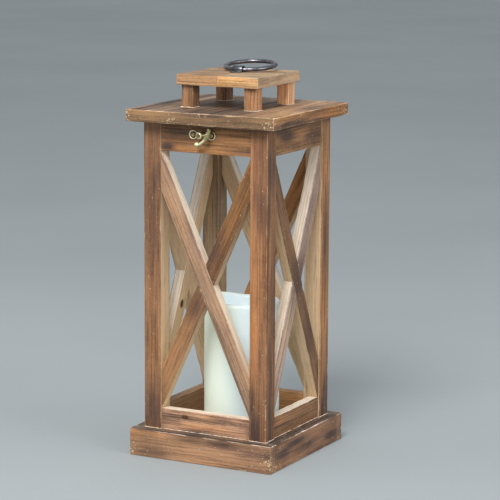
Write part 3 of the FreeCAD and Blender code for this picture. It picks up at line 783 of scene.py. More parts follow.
class Wood(Material):
    """The layers of a wood's figure, and the colours that it has where it is stained and bare."""

    def __init__(self, name, ring_gap, veins):
        super().__init__(name)
        self.end_grain = self.attribute("end_grain")
        self.grain = self.grain_place()
        self.fine = self.noise(self.grain, (22, 620, 620), 3, 0.65)
        self.fibre = self.noise(self.grain, (7, 330, 330), 3, 0.65)
        self.streak = self.noise(self.grain, (6, 110, 110), 3, 0.6)
        self.blotch = self.noise(self.grain, (15, 34, 34), 4, 0.6)
        self.hue = self.noise(self.grain, (9, 85, 85), 3, 0.6)
        self.early = self.growth_rings(ring_gap)
        self.vein = self.vein_lines()
        self.figure = self.weighed(
            (self.vein, -veins),
            (self.early, -0.2),
            (self.fine, 0.6),
            (self.fibre, 1.3),
            (self.streak, 1.7),
            (self.blotch, 1.4),
            (self.noise(self.grain, (230, 30, 30), 2, 0.5), 0.3),
            (self.noise(self.grain, (330, 560, 560), 2, 0.6), 0.6),
        )

    def grain_place(self):
        """Each point's place along, across and through the grain.

        On a board's ends the streaks lie across its width, so there the first two change places.
        """
        place = self.attribute("grain", "Vector")
        along, across, deep = (self.add("ShaderNodeSeparateXYZ", {0: place}, axis) for axis in "XYZ")
        turned = self.add("ShaderNodeCombineXYZ", {"X": across, "Y": along, "Z": deep})
        inputs = {0: self.end_grain, 4: place, 5: turned}
        return self.add("ShaderNodeMix", inputs, 1, data_type="VECTOR")

    def growth_rings(self, ring_gap):
        """The growth rings, which turn about the grain's own axis, a number of mm apart."""
        inputs = {
            "Vector": self.scaled(self.grain, (0.06, 1, 1)),
            "Scale": WAVE_GAP / (ring_gap * MM),
            "Distortion": 9.0,
            "Detail": 3.0,
            "Detail Scale": 0.45,
            "Detail Roughness": 0.65,
        }
        settings = {"wave_type": "RINGS", "rings_direction": "X", "wave_profile": "SAW"}
        return self.spread(self.add("ShaderNodeTexWave", inputs, "Fac", **settings), 0.3, 1.0)

    def vein_lines(self):
        """Veins follow the level lines of a stretched noise, so that they run on, split and fade."""
        level = self.noise(self.grain, (3.2, 210, 210), 2, 0.5)
        off_level = self.math("ABSOLUTE", self.math("SUBTRACT", level, 0.5))
        vein = self.spread(off_level, 0.0, 0.04, 1.0, 0.0)
        return self.times(vein, self.spread(self.blotch, 0.35, 0.6, 0.25, 1))

    def char_and_shade(self, lively, char):
        """How far the wood is darkened: charred in streaks all over it, and in the patches, which are
        partly scorched and partly painted shade.
        """
        streaks = self.spread(self.noise(self.grain, (6, 150, 150), 3, 0.65), 0.5, 0.66)
        patch = self.spread(self.noise(self.grain, (10, 24, 24), 3, 0.6), 0.42, 0.62)
        share = self.times(self.times(streaks, patch), self.times(lively, char))
        scorch_and_shade = self.times(self.attribute("scorch_and_shade"), self.spread(self.streak, 0.3, 0.62, 0.5, 1.3))
        scorch_and_shade = self.times(scorch_and_shade, self.spread(self.blotch, 0.35, 0.6, 0.6, 1.0))
        return self.math("MAXIMUM", share, scorch_and_shade, clamp=True)

    def stained(self, contrast, char):
        """The stain with the figure's contrast, streaks that differ in hue, char and painted shade in
        patches, and dirt on top, which on the roof also holds painted shade.
        """
        plain = self.attribute("plain")
        lively = self.math("SUBTRACT", 1, plain)
        bright = self.spread(self.figure, *FIGURE_RANGE, 1 - contrast, 1 + contrast)
        bright = self.plus(self.times(bright, lively), plain)
        even = self.tinted(self.attribute("stain", "Color"), self.grey(bright))
        colour = self.mix(self.spread(self.hue, 0.52, 0.68), even, self.tinted(even, GOLDEN))
        colour = self.mix(self.spread(self.hue, 0.45, 0.30), colour, self.tinted(even, PURPLE))
        colour = self.mix(self.char_and_shade(lively, char), colour, CHAR_AND_SHADE)
        # darkening of the upward faces: dirt, and on the roof painted shade
        dark_share = self.times(self.attribute("dark"), self.spread(self.streak, 0.35, 0.65, 1.0, 0.6))
        dirt_and_shade = self.mix(self.spread(self.figure, 2.2, 3.2), DIRT_AND_SHADE_DARK, DIRT_AND_SHADE_PALE)
        colour = self.mix(dark_share, colour, dirt_and_shade)
        return self.mix(self.times(self.end_grain, 0.3), colour, END_STAIN)

    def raw(self):
        """Bare wood, with a fainter figure of the same rings."""
        # the bare sides that face up are painted lighter, as lit by the sky
        colour = self.mix(self.attribute("sky_lit"), PALE_WOOD, SKY_LIT_WOOD)
        colour = self.tinted(colour, self.grey(self.spread(self.figure, *FIGURE_RANGE, 0.82, 1.13)))
        colour = self.mix(self.times(self.early, 0.16), colour, RAW_RING)
        return self.mix(self.spread(self.hue, 0.55, 0.75, 0, 0.4), colour, RAW_STREAK)

    def knot(self):
        """A knot's share, its halo's share, and its colour, dark with rings of its own."""
        to_knot = self.scaled(self.attribute("to_knot", "Vector"), (0.55, 1, 0.04))
        away = self.add("ShaderNodeVectorMath", {0: to_knot}, "Value", operation="LENGTH")
        away = self.plus(away, self.spread(self.fine, 0.3, 0.7, -0.18, 0.18))
        rings = self.spread(self.math("SINE", self.times(away, 17.0)), -1, 1)
        colour = self.mix(rings, KNOT_DARK, KNOT_PALE)
        return self.spread(away, 1.15, 0.85), self.spread(away, 2.0, 0.9, 0, 0.55), colour


def wood_material(name, ring_gap, contrast, char, worn, veins):
    """Wood that is stained, or bare where the stain never came or has worn or flecked off."""
    wood = Wood(name, ring_gap, veins)
    knot, halo, knot_colour = wood.knot()
    stained = wood.mix(halo, wood.stained(contrast, char), KNOT_HALO)
    raw = wood.raw()
    ragged = wood.noise(wood.grain, (45, 420, 420), 3, 0.6)
    loose = wood.spread(ragged, 0.2, 0.8, -0.42, 0.42)
    bare = wood.spread(wood.plus(wood.attribute("bare"), loose), 0.36, 0.64)
    pale_line = wood.plus(wood.attribute("pale_line"), wood.times(loose, 0.8))
    pale_line = wood.spread(pale_line, 0.3, 0.7, 0, 0.95)
    colour = wood.mix(wood.math("MAXIMUM", bare, pale_line), stained, raw)
    wear = wood.plus(wood.attribute("wear"), wood.times(loose, 1.3))
    wear = wood.spread(wear, 0.45, 0.95, 0, worn)
    # flecks where the stain has come off, thicker along the edges
    fleck = wood.noise(wood.grain, (420, 520, 520), 2, 0.55)
    fleck = wood.plus(fleck, wood.times(wood.attribute("near_edge"), 0.085))
    fleck = wood.spread(fleck, 0.70, 0.75, 0, 0.85)
    colour = wood.mix(wood.math("MAXIMUM", wear, fleck), colour, wood.tinted(raw, RUBBED))
    colour = wood.mix(knot, colour, knot_colour)
    # open pores, dark and thin, along the grain
    pores = wood.spread(wood.noise(wood.grain, (38, 1500, 1500), 1, 0.4), 0.62, 0.72, 0, 0.6)
    colour = wood.mix(pores, colour, wood.tinted(colour, PORES))
    rough = wood.spread(wood.figure, *FIGURE_RANGE, 0.78, 0.56)
    wood.surface(Base_Color=colour, Roughness=rough, Specular_IOR_Level=0.3)
    relief = ((wood.fine, 0.6), (wood.fibre, 1.0), (wood.early, -0.2), (wood.vein, -0.9), (pores, -0.8))
    wood.bump(wood.weighed(*relief), 0.6, 0.5 * MM)
    return wood.material


def metal_material(name, colour, tarnish, rough, spots, fineness):
    """Worn metal: tarnish in patches and recesses, and painted shade on pieces in shade; bright where it
    is rubbed and where a highlight is painted; faintly pitted.
    """
    metal = Material(name)
    place = metal.position()
    cloud = metal.noise(place, (140, 140, 140), 4, 0.65)
    speck = metal.noise(place, (fineness, fineness, fineness), 3, 0.6)
    share = metal.spread(metal.weighed((cloud, 0.65), (speck, 0.35)), 0.42, 0.62, 0.0, spots)
    # tarnish in recesses, and painted shade on pieces that lie in shade
    share = metal.math("MAXIMUM", share, metal.attribute("recess_and_shade"))
    # bright where the metal is rubbed, and where a highlight is painted
    rubbed_and_highlight = metal.times(metal.attribute("rubbed_and_highlight"), metal.spread(cloud, 0.3, 0.5, 0.6, 1))
    bright = tuple(min(0.98, 1.3 * channel + 0.28) for channel in colour)
    metal.surface(Base_Color=metal.mix(rubbed_and_highlight, metal.mix(share, colour, tarnish), bright))
    # the painted highlights are less metallic, so that they show pale under the lamps
    metal.surface(Metallic=metal.spread(rubbed_and_highlight, 0, 1, 1.0, 0.3))
    dull = metal.spread(share, 0, 1, rough, min(rough + 0.25, 0.9))
    metal.surface(Roughness=metal.spread(rubbed_and_highlight, 0, 1, dull, rough))
    metal.bump(metal.plus(speck, metal.times(cloud, 1.5)), 0.15, 0.25 * MM)
    return metal.material


def plastic_material(name, colour, rough, clear):
    """Moulded plastic with a faint grain and slightly uneven colour."""
    plastic = Material(name, Transmission_Weight=clear, IOR=1.46)
    place = plastic.position()
    cloud = plastic.noise(place, (60, 60, 60), 2)
    grain = plastic.noise(place, (1800, 1800, 1800), 2)
    darker = tuple(0.86 * channel for channel in colour)
    plastic.surface(Base_Color=plastic.mix(plastic.spread(cloud, 0.3, 0.7), colour, darker))
    plastic.surface(Roughness=plastic.spread(grain, 0.2, 0.8, rough - 0.05, rough + 0.1))
    plastic.bump(grain, 0.15, 0.08 * MM)
    return plastic.material


# the level way in which the candle's wax goes from the painted warm light of the wood, on its left, to
# white
TOWARD_LESS_WOOD_LIGHT = (0.88, 0.47, 0)


def wax_material():
    """White wax, faintly mottled, and painted with warm light reflected from the wood toward its left.

    Its faint glow is painted light, standing for the light that passes through wax more deeply than the
    scatter does.
    """
    wax = Material(
        "candle_wax",
        Subsurface_Weight=0.5,
        Subsurface_Radius=(0.014, 0.017, 0.016),
        Subsurface_Scale=1.0,
        IOR=1.44,
        # painted light: a faint glow for the light that passes through the wax
        Emission_Color=(0.85, 1.0, 0.86),
        Emission_Strength=0.13,
    )
    place = wax.position()
    cloud = wax.noise(place, (16, 16, 9), 4, 0.6)
    mottle = wax.noise(place, (150, 150, 110), 3, 0.6)
    tone = wax.spread(wax.weighed((cloud, 0.7), (mottle, 0.3)), 0.36, 0.62)
    colour = wax.mix(tone, (0.55, 0.655, 0.73), (0.58, 0.69, 0.765))
    inputs = {0: place, 1: TOWARD_LESS_WOOD_LIGHT}
    across = wax.add("ShaderNodeVectorMath", inputs, "Value", operation="DOT_PRODUCT")
    across = wax.plus(across, wax.times(wax.math("SUBTRACT", cloud, 0.5), 0.02))
    # painted warm light reflected from the wood, on the candle's left
    colour = wax.mix(wax.spread(across, 0.02, -0.035), colour, (0.75, 0.83, 0.73))
    # painted light: the hollow's wax is lighter and bluer, as lit through its thin wall
    colour = wax.mix(wax.attribute("hollow"), colour, (0.69, 0.80, 0.88))
    wax.surface(Base_Color=colour, Roughness=wax.spread(mottle, 0.3, 0.7, 0.40, 0.56))
    wax.bump(wax.plus(cloud, wax.times(mottle, 0.35)), 0.25, 0.8 * MM)
    return wax.material


def floor_material():
    """Plain pale paving."""
    floor = Material("pale_floor", Roughness=0.85)
    place = floor.position()
    cloud = floor.noise(place, (1.4, 1.4, 1.4), 3, 0.5)
    speck = floor.noise(place, (420, 420, 420), 2, 0.6)
    tone = floor.spread(floor.weighed((cloud, 0.6), (speck, 0.4)), 0.3, 0.7)
    floor.surface(Base_Color=floor.mix(tone, (0.31, 0.345, 0.36), (0.355, 0.39, 0.405)))
    return floor.material


WOODS = {
    # the growth rings' gap in mm, contrast of the figure, charred streaks, wear and veins
    "frame_wood": (3.1, 0.62, 0.65, 0.85, 0.35),
    "skirt_wood": (3.9, 0.6, 0.5, 1.0, 0.35),
    "floor_wood": (3.8, 0.3, 0.2, 0.5, 0.2),
    "lid_wood": (2.7, 0.65, 0.65, 1.0, 0.5),
}
METALS = {
    # colour, tarnish, roughness, how tarnished, and how many pits to a metre
    "brad_steel": ((0.66, 0.62, 0.56), (0.34, 0.25, 0.18), 0.38, 0.7, 900),
    "ring_metal": ((0.20, 0.205, 0.235), (0.06, 0.055, 0.06), 0.25, 0.75, 700),
    "hinge_brass": ((0.62, 0.47, 0.24), (0.26, 0.17, 0.08), 0.3, 0.6, 800),
    "screw_brass": ((0.6, 0.46, 0.25), (0.2, 0.14, 0.07), 0.32, 0.7, 900),
    "screw_steel": ((0.42, 0.41, 0.40), (0.14, 0.12, 0.11), 0.35, 0.7, 900),
    "latch_brass": ((0.60, 0.49, 0.25), (0.16, 0.115, 0.05), 0.27, 0.55, 650),
    "battery_steel": ((0.55, 0.56, 0.57), (0.32, 0.33, 0.35), 0.28, 0.5, 500),
}
PLASTICS = {
    # colour, roughness, and how far light passes through
    "flame_plastic": ((0.92, 0.74, 0.42), 0.4, 0.3),
    "core_plastic": ((0.74, 0.73, 0.66), 0.5, 0.0),
    "switch_plastic": ((0.06, 0.06, 0.065), 0.45, 0.0),
}
materials = {"wax": wax_material()}
for make_material, rows in (
    (wood_material, WOODS),
    (metal_material, METALS),
    (plastic_material, PLASTICS),
):
    for slot_name, values in rows.items():
        materials[slot_name] = make_material(slot_name, *values)


# ---- the wooden pieces ----

KINDS = (
    # ending of the nodes' names and slot; then how far the long edges and the ends are eased and
    # how uneven the faces are, in mm; chips; how far wear reaches in mm; how faint the figure is
    ("post", "frame_wood", 1.0, 0.6, 0.18, 6, 0.65, 0.2),
    ("bottom_rail", "frame_wood", 0.7, 0.4, 0.12, 3, 0.5, 0.0),
    ("top_rail", "frame_wood", 0.7, 0.4, 0.12, 3, 0.5, 0.0),
    ("long_brace", "frame_wood", 0.7, 0.3, 0.12, 7, 0.5, 0.3),
    ("upper_brace", "frame_wood", 0.7, 0.4, 0.12, 4, 0.5, 0.3),
    ("lower_brace", "frame_wood", 0.7, 0.4, 0.12, 4, 0.5, 0.3),
    ("skirt_board", "skirt_wood", 1.1, 1.0, 0.2, 12, 1.1, 0.25),
    ("roof_board", "lid_wood", 1.2, 1.2, 0.3, 26, 1.15, 0.0),
    ("block", "lid_wood", 0.8, 0.3, 0.12, 4, 1.0, 0.3),
    ("cap_board", "lid_wood", 1.0, 1.0, 0.25, 9, 0.9, 0.35),
)
FIRST_BOARD_SEED = 100
SEED_STEP = 17


def nodes_ending(ending):
    """The CAD nodes whose names end so, in an order that is always the same."""
    return sorted(node for node in frame["nodes"] if node.endswith(ending))


def make_wood():
    """Every wooden piece but the floor board, each with random values of its own."""
    seed = FIRST_BOARD_SEED
    for ending, slot, *options in KINDS:
        kind = "rail" if ending.endswith("rail") else ending
        for node in nodes_ending(ending):
            seed += SEED_STEP
            make_board(node, kind, slot, seed, *options)


BEAD_ANGLES = np.linspace(math.radians(8), math.radians(82), 7)
BLOCK_GLUE_SEED = 900
FOOT_GLUE_SEED = 77


def make_bead(name, path, outward, foot, body, seed, thick):
    """A ragged bead of pale glue along a closed path, in the corner at the foot of a wall."""
    spot = np.column_stack([path * 330, np.zeros(len(path))])
    reach = thick * (0.75 + 0.7 * fractal_noise(spot, seed)) * MM
    points = []
    for angle in BEAD_ANGLES:
        ring = path + outward * (reach * math.cos(angle) - 0.3 * MM)[:, None]
        points.append(np.column_stack([ring, foot + 0.75 * reach * math.sin(angle) - 0.05 * MM]))
    buried = path - outward * 0.8 * MM
    points.append(np.column_stack([buried, np.full(len(path), foot + 0.2 * MM)]))
    points = np.concatenate(points)
    attributes = {
        "grain": points + (0.3, 0.05, 0.05),
        "stain": np.tile(GLUE, (len(points), 1)),
        "plain": np.full(len(points), 0.85),
        "to_knot": np.tile(NO_KNOT, (len(points), 1)),
    }
    bead = new_piece(name, points, ring_quads(len(BEAD_ANGLES) + 1, len(path)), attributes)
    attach(bead, body)
    finish_piece(bead, "lid_wood" if body == "lid" else "frame_wood")


def make_block_glue():
    """The glue pressed out round the foot of each block."""
    share = np.linspace(0, 1, 22, endpoint=False)
    for node in nodes_ending("_block"):
        low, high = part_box(node)
        corners = np.array([(low.x, low.y), (high.x, low.y), (high.x, high.y), (low.x, high.y)])
        sides = zip(corners, np.roll(corners, -1, axis=0))
        path = np.concatenate([start + np.outer(share, end - start) for start, end in sides])
        middle = path.mean(axis=0)
        outward = (path - middle) / np.abs(path - middle).max(axis=1)[:, None]
        seed = BLOCK_GLUE_SEED + sum(map(ord, node))
        make_bead("glue_" + node, path, outward, low.z, "lid", seed, 1.0)


def make_foot_glue():
    """The glue pressed out where the frame's posts and rails stand in the skirt."""
    post_low, post_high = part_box("front_right_post")
    rail_low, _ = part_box("front_bottom_rail")
    along = np.linspace(-1, 1, 150, endpoint=False) * post_high.x
    depth = np.where(np.abs(along) < post_low.x, -rail_low.y, -post_low.y)
    side = np.stack([along, -depth], axis=1)
    path, outward = [], []
    for quarter in range(4):
        turn = quarter * math.pi / 2
        spin = np.array([[math.cos(turn), -math.sin(turn)], [math.sin(turn), math.cos(turn)]])
        path.append(side @ spin.T)
        outward.append(np.tile(spin @ (0, -1), (len(side), 1)))
    path, outward = np.concatenate(path), np.concatenate(outward)
    make_bead("glue_foot", path, outward, SKIRT_TOP, "frame", FOOT_GLUE_SEED, 0.9)


def make_floor_board():
    """The notched floor board keeps its outline; its edges are eased and its grain runs across."""
    board = frame["nodes"]["floor_board"]
    points = node_points("floor_board")
    attributes = {
        "grain": points + (1.7, 0.03, 0.045),
        "stain": np.tile(STAINS["floor_board"], (len(points), 1)),
        "bare": np.ones(len(points)),
        "to_knot": np.tile(NO_KNOT, (len(points), 1)),
    }
    add_attributes(board.data, attributes)
    ease_edges(board, 0.6 * MM)
    finish_piece(board, "floor_wood")


def ease_edges(piece, width):
    """Joins the CAD mesh's faces and rounds its edges, both with modifiers."""
    weld = piece.modifiers.new("weld", "WELD")
    weld.merge_threshold = 1e-6
    bevel = piece.modifiers.new("ease", "BEVEL")
    bevel.width = width
    bevel.segments = 2
    bevel.limit_method = "ANGLE"
    bevel.angle_limit = math.radians(35)
    bevel.harden_normals = True
    shade_smooth(piece.data)


# ---- the candle ----

# how far below its highest point the wax rim lies, in millimetres, at angles round the candle
RIM_DIPS = (
    (28, 2.9),
    (70, 3.4),
    (103, 5.4),
    (122, 4.9),
    (145, 2.0),
    (165, 0.3),
    (190, 0.1),
    (228, 1.4),
    (268, 2.4),
    (298, 2.6),
    (345, 2.9),
)
HOLLOW_DEPTH = 24 * MM
WAX_SEED = 71


def shell_outline(radius, tall, room, room_top, hole):
    """The wax shell's outline from its foot up, over its rim, down its hollow and into its room.

    It comes with the number of its first point in the hollow, and of the first one past it.
    """
    bowl = tall - HOLLOW_DEPTH
    shoulder = 4.0 * MM
    rim = 2.5 * MM
    wall_slant = 2.4 * MM
    corner_width, corner_height = 5 * MM, 3 * MM
    floor_fall = 0.6 * MM
    crown = radius - shoulder
    profile = [(room, 0), (radius - 1.5 * MM, 0), (radius - 0.5 * MM, 0.4 * MM), (radius, 1.5 * MM)]
    profile += [(radius, height) for height in np.linspace(4 * MM, tall - 7 * MM, 52)]
    for turn in np.linspace(0, math.pi / 2, 9):
        profile.append((crown + shoulder * math.cos(turn), tall - shoulder + shoulder * math.sin(turn)))
    for turn in np.linspace(math.pi / 2, math.pi, 7)[1:]:
        profile.append((crown + rim * math.cos(turn), tall - rim + rim * math.sin(turn)))
    hollow_start = len(profile) - 2
    for part in np.linspace(0.1, 1, 10):
        inward = wall_slant * part**1.5
        fall = part * (HOLLOW_DEPTH - rim - corner_height)
        profile.append((crown - rim - inward, tall - rim - fall))
    wall_foot = profile[-1][0]
    for part in np.linspace(0.15, 1, 9):
        rise = corner_height * (1 - part) ** 2 + floor_fall * part
        profile.append((wall_foot - part * corner_width, bowl + rise))
    floor_edge = profile[-1][0]
    for part in np.linspace(0.1, 1, 9):
        profile.append((floor_edge + part * (hole - floor_edge), bowl + floor_fall * (1 - part)))
    hollow_end = len(profile)
    profile += [(hole, (bowl + room_top) / 2), (hole, room_top)]
    profile += [(room - 1 * MM, room_top), (room, room_top - 1 * MM)]
    profile += [(room, height) for height in np.linspace(room_top - 12 * MM, 1 * MM, 8)]
    return profile, hollow_start, hollow_end


def make_candle():
    """The wax shell: an uneven, rounded rim round a hollow, over the room for the candle's core."""
    low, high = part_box("candle_shell")
    core_low, core_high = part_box("candle_core")
    flame_low, flame_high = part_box("candle_flame")
    radius = (high.x - low.x) / 2
    tall = high.z - low.z
    play = 0.2 * MM
    room = (core_high.x - core_low.x) / 2 + play
    room_top = core_high.z - low.z + play
    hole = (flame_high.x - flame_low.x) / 2 + play
    profile, hollow_start, hollow_end = shell_outline(radius, tall, room, room_top, hole)
    stops = [(angle + turn, dip) for turn in (-360, 0, 360) for angle, dip in RIM_DIPS]
    curve = smooth_path(stops, 600)
    uneven = 0.35 * MM

    def melted(radii, heights, angles):
        """A rim that rises and falls, and walls that aren't quite round."""
        sway = noise_on_grid(WAX_SEED, 1.6 * np.cos(angles), 1.6 * np.sin(angles), 25 * heights)
        dip = np.interp(np.degrees(angles), curve[:, 0], curve[:, 1]) * MM
        outer = smooth_step(radii, radius - 16 * MM, radius - 9 * MM)
        near_rim = smooth_step(heights, tall - HOLLOW_DEPTH, tall - 2 * MM)
        radii = radii - outer * (uneven + uneven * sway) * smooth_step(heights, 0, 6 * MM)
        heights = heights - outer * near_rim * np.maximum(dip, 0)
        return radii, heights

    segments = 144
    points, faces = revolve(profile, segments, foot_of(low, high), melted)
    # the hollow's points, whose wax is painted as lit through its thin wall
    in_hollow = np.zeros((len(profile), segments))
    in_hollow[hollow_start:hollow_end] = 1
    shell = new_piece("wax_shell", points, faces, {"hollow": in_hollow.ravel()})
    stand_for(shell, "candle_shell", "wax")


def make_flame():
    """A frosted drop-shaped tip on a short stem."""
    low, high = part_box("candle_flame")
    radius = (high.x - low.x) / 2
    drop = 19 * MM
    drop_foot = high.z - low.z - drop
    profile = [(AXIS_GAP, 0), (radius - 0.4 * MM, 0), (radius, 0.5 * MM), (radius, drop_foot)]
    for part in np.linspace(0.06, 1, 22):
        swell = math.sqrt(max(0.0, 1 - part**2.2)) * (1 - 0.25 * part)
        profile.append((max(AXIS_GAP, radius * swell), drop_foot + part * drop))
    points, faces = revolve(profile, 32, foot_of(low, high))
    stand_for(new_piece("flame_tip", points, faces), "candle_flame", "flame_plastic")


# ---- the metalwork ----

RING_WIRE_RADIUS = 2.6 * MM
RING_SEED = 5


def make_ring():
    """A tilted ring of round wire that is worn a little thinner here and there."""
    low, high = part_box("ring_handle")
    radius = (high.x - low.x) / 2 - RING_WIRE_RADIUS
    tilt = math.asin(((high.z - low.z) / 2 - RING_WIRE_RADIUS) / radius)
    around, about = 200, 20
    turn, roll = full_turn(around)[:, None], full_turn(about)[None, :]
    worn = noise_on_grid(RING_SEED, 5 * np.cos(turn), 5 * np.sin(turn), np.cos(roll))
    gauge = RING_WIRE_RADIUS * (0.965 + 0.03 * worn)
    reach = radius + gauge * np.cos(roll)
    flat = np.stack([reach * np.sin(turn), -reach * np.cos(turn), gauge * np.sin(roll)], axis=-1)
    lean = np.array([
        [1, 0, 0],
        [0, math.cos(tilt), -math.sin(tilt)],
        [0, math.sin(tilt), math.cos(tilt)],
    ])
    points = flat.reshape(-1, 3) @ lean.T + np.array((low + high) / 2)
    faces = [quad[::-1] for quad in ring_quads(around, about)]
    ring = new_piece("wire_ring", points, faces)
    stand_for(ring, "ring_handle", "ring_metal")


def domed_strip(stops, back, count):
    """A bar with a flat back and a rounded face, whose two edges and height run through the stops.

    Each stop is left x, left z, right x, right z, the rounding's height and how far it is rubbed
    and painted with a highlight, with lengths in mm. The widest part of the bar is a little in front of
    its back.
    """
    about = 18
    widest = 0.9
    rows = smooth_path(stops, count)
    roll = full_turn(about)
    side = (1 + np.cos(roll)) / 2
    front = np.where(np.sin(roll) > 0, np.sin(roll), 0)
    rear = np.where(np.sin(roll) < 0, np.sin(roll), 0)
    points, rubbed_and_highlight = [], []
    for left_x, left_z, right_x, right_z, height, shine in rows:
        x = left_x + side * (right_x - left_x)
        z = left_z + side * (right_z - left_z)
        y = back - widest - height * front - widest * rear
        points.append(np.stack([x, y, z], axis=1) * MM)
        # painted highlight along the upper-left half of the rounded face, together with rubbing
        rubbed_and_highlight.append(shine * front * np.exp(-(((side - 0.36) / 0.27) ** 2)))
    return np.concatenate(points), tube_faces(count, about), np.concatenate(rubbed_and_highlight)


def make_hook():
    """The cast hook: an eye, a neck with a spur, and an arm that narrows down to a round end."""
    body = [
        (9.2, 389.3, 9.8, 389.3, 1.0, 0.0),
        (8.0, 388.7, 11.1, 388.7, 1.2, 0.0),
        (7.5, 387.4, 11.5, 387.4, 1.3, 0.0),
        (7.2, 385.9, 11.4, 385.7, 1.5, 0.2),
        (6.5, 384.0, 10.9, 383.6, 1.8, 0.4),
        (4.6, 381.8, 10.3, 381.2, 2.0, 0.2),
        (3.0, 379.8, 9.2, 378.6, 2.2, 0.1),
        (2.1, 377.4, 7.4, 376.0, 2.3, 0.5),
        (0.4, 375.5, 5.2, 373.9, 2.4, 1.0),
        (-2.0, 373.6, 2.4, 371.5, 2.4, 1.0),
        (-4.0, 372.4, -0.5, 369.3, 2.4, 1.0),
        (-5.6, 371.6, -3.0, 368.3, 2.3, 0.7),
    ]
    spur = [
        (7.6, 384.4, 7.0, 381.4, 2.0, 0.6),
        (4.9, 383.0, 4.6, 380.9, 2.2, 0.9),
        (2.6, 382.0, 2.7, 380.4, 2.0, 0.9),
        (1.2, 381.3, 1.3, 380.5, 1.5, 0.8),
    ]
    back = -86.1
    body_points, body_faces, body_shine = domed_strip(body, back, 64)
    spur_points, spur_faces, spur_shine = domed_strip(spur, back - 0.1, 20)
    radius = 3.2 * MM
    turn = np.linspace(0.02, math.pi - 0.02, 19)
    outline = [(radius * math.sin(angle), -radius * math.cos(angle)) for angle in turn]
    centre = np.array((-6.2, -87.2, 369.8)) * MM
    segments = 32
    ball_points, _ = revolve(outline, segments, centre)
    ball = (ball_points, tube_faces(len(outline), segments))
    upward = (ball_points - centre)[:, Z_AXIS] / radius
    points, faces = joined(((body_points, body_faces), (spur_points, spur_faces), ball))
    # the ball's upper side is painted with a highlight
    rubbed_and_highlight = np.concatenate([body_shine, spur_shine, 0.85 * smooth_step(upward, -0.5, 0.4)])
    stand_for(new_piece("cast_hook", points, faces, {"rubbed_and_highlight": rubbed_and_highlight}), "latch_hook", "latch_brass")


def catch_outline(lobe, span, half_bar):
    """The plate's outline about its middle: two lobes and a middle disc, joined by two bars."""
    meet = math.asin(half_bar / lobe)
    bends = (
        (span, -math.pi + meet, math.pi - meet),
        (0, meet, math.pi - meet),
        (-span, meet, 2 * math.pi - meet),
        (0, math.pi + meet, 2 * math.pi - meet),
    )
    outline = []
    for centre, start, end in bends:
        for angle in np.linspace(start, end, 12 if centre == 0 else 36):
            outline.append((centre + lobe * math.cos(angle), lobe * math.sin(angle)))
    return np.array(outline)


def make_catch_plate():
    """The latch's plate: a raised rim, rubbed and painted with highlights, round a dark recess; its
    middle disc is painted with shade.
    """
    # painted shade: the middle disc, under the roof, is dark all over
    middle_shade = 0.85
    low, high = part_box("catch_plate")
    lobe = (high.z - low.z) / 2 / MM
    span = (high.x - low.x) / 2 / MM - lobe
    centre = (low + high) / 2
    rows = (
        # how far in from the outline, how far forward of the wall, how far rubbed and painted with a
        # highlight, and how deep
        (0.0, 0.0, 0.0, 0.6),
        (0.0, 0.95, 0.2, 0.2),
        (0.22, 1.33, 0.9, 0.0),
        (0.62, 1.47, 1.0, 0.0),
        (1.02, 1.33, 0.9, 0.0),
        (1.3, 0.95, 0.2, 0.6),
        (1.5, 0.75, 0.0, 0.95),
    )
    points, rubbed_and_highlight, recess_and_shade = [], [], []
    for inset, forward, shine, deep in rows:
        outline = catch_outline(lobe - inset, span, 0.6 * lobe - inset)
        x = centre.x + outline[:, 0] * MM
        z = centre.z + outline[:, 1] * MM
        y = np.full(len(outline), high.y - forward * MM)
        points.append(np.stack([x, y, z], axis=1))
        in_middle = np.abs(outline[:, 0]) < lobe
        rubbed_and_highlight.append(np.where(in_middle, 0.1 * shine, shine))
        recess_and_shade.append(np.where(in_middle, middle_shade, deep))
    faces = tube_faces(len(rows), len(points[0]))
    attributes = {"rubbed_and_highlight": np.concatenate(rubbed_and_highlight), "recess_and_shade": np.concatenate(recess_and_shade)}
    plate = new_piece("rimmed_plate", np.concatenate(points), faces, attributes)
    stand_for(plate, "catch_plate", "latch_brass")


def make_catch_stud():
    """The latch's stud: a short post with a lip that is rubbed and painted with a highlight, and a dull
    hollow in its face.
    """
    low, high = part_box("catch_stud")
    radius = (high.x - low.x) / 2 / MM
    length = (high.y - low.y) / MM
    middle = 0.05
    outline = (
        # radius, distance out from the plate, how far rubbed and painted with a highlight, and how dark
        (middle, 0.0, 0.0, 0.5),
        (radius, 0.0, 0.0, 0.5),
        (radius, 0.6, 0.1, 0.3),
        (radius * 0.92, 1.4, 0.2, 0.4),
        (radius * 0.92, length - 3.0, 0.5, 0.2),
        (radius * 0.98, length - 1.9, 1.0, 0.0),
        (radius * 0.95, length - 0.9, 1.0, 0.0),
        (radius * 0.8, length - 0.2, 0.7, 0.0),
        (radius * 0.62, length, 0.0, 0.6),
        (radius * 0.3, length - 0.15, 0.0, 0.75),
        (middle, length - 0.2, 0.0, 0.75),
    )
    segments = 40
    rows = smooth_path(outline, 41)
    profile = [(row[0] * MM, row[1] * MM) for row in rows]
    points, faces = revolve(profile, segments, (0, 0, 0))
    points = faced(points, (0, -1, 0), ((low.x + high.x) / 2, high.y, (low.z + high.z) / 2))
    attributes = {
        "rubbed_and_highlight": np.repeat(np.clip(rows[:, 2], 0, 1), segments),
        "recess_and_shade": np.repeat(np.clip(rows[:, 3], 0, 1), segments),
    }
    stud = new_piece("turned_stud", points, faces, attributes)
    stand_for(stud, "catch_stud", "latch_brass")


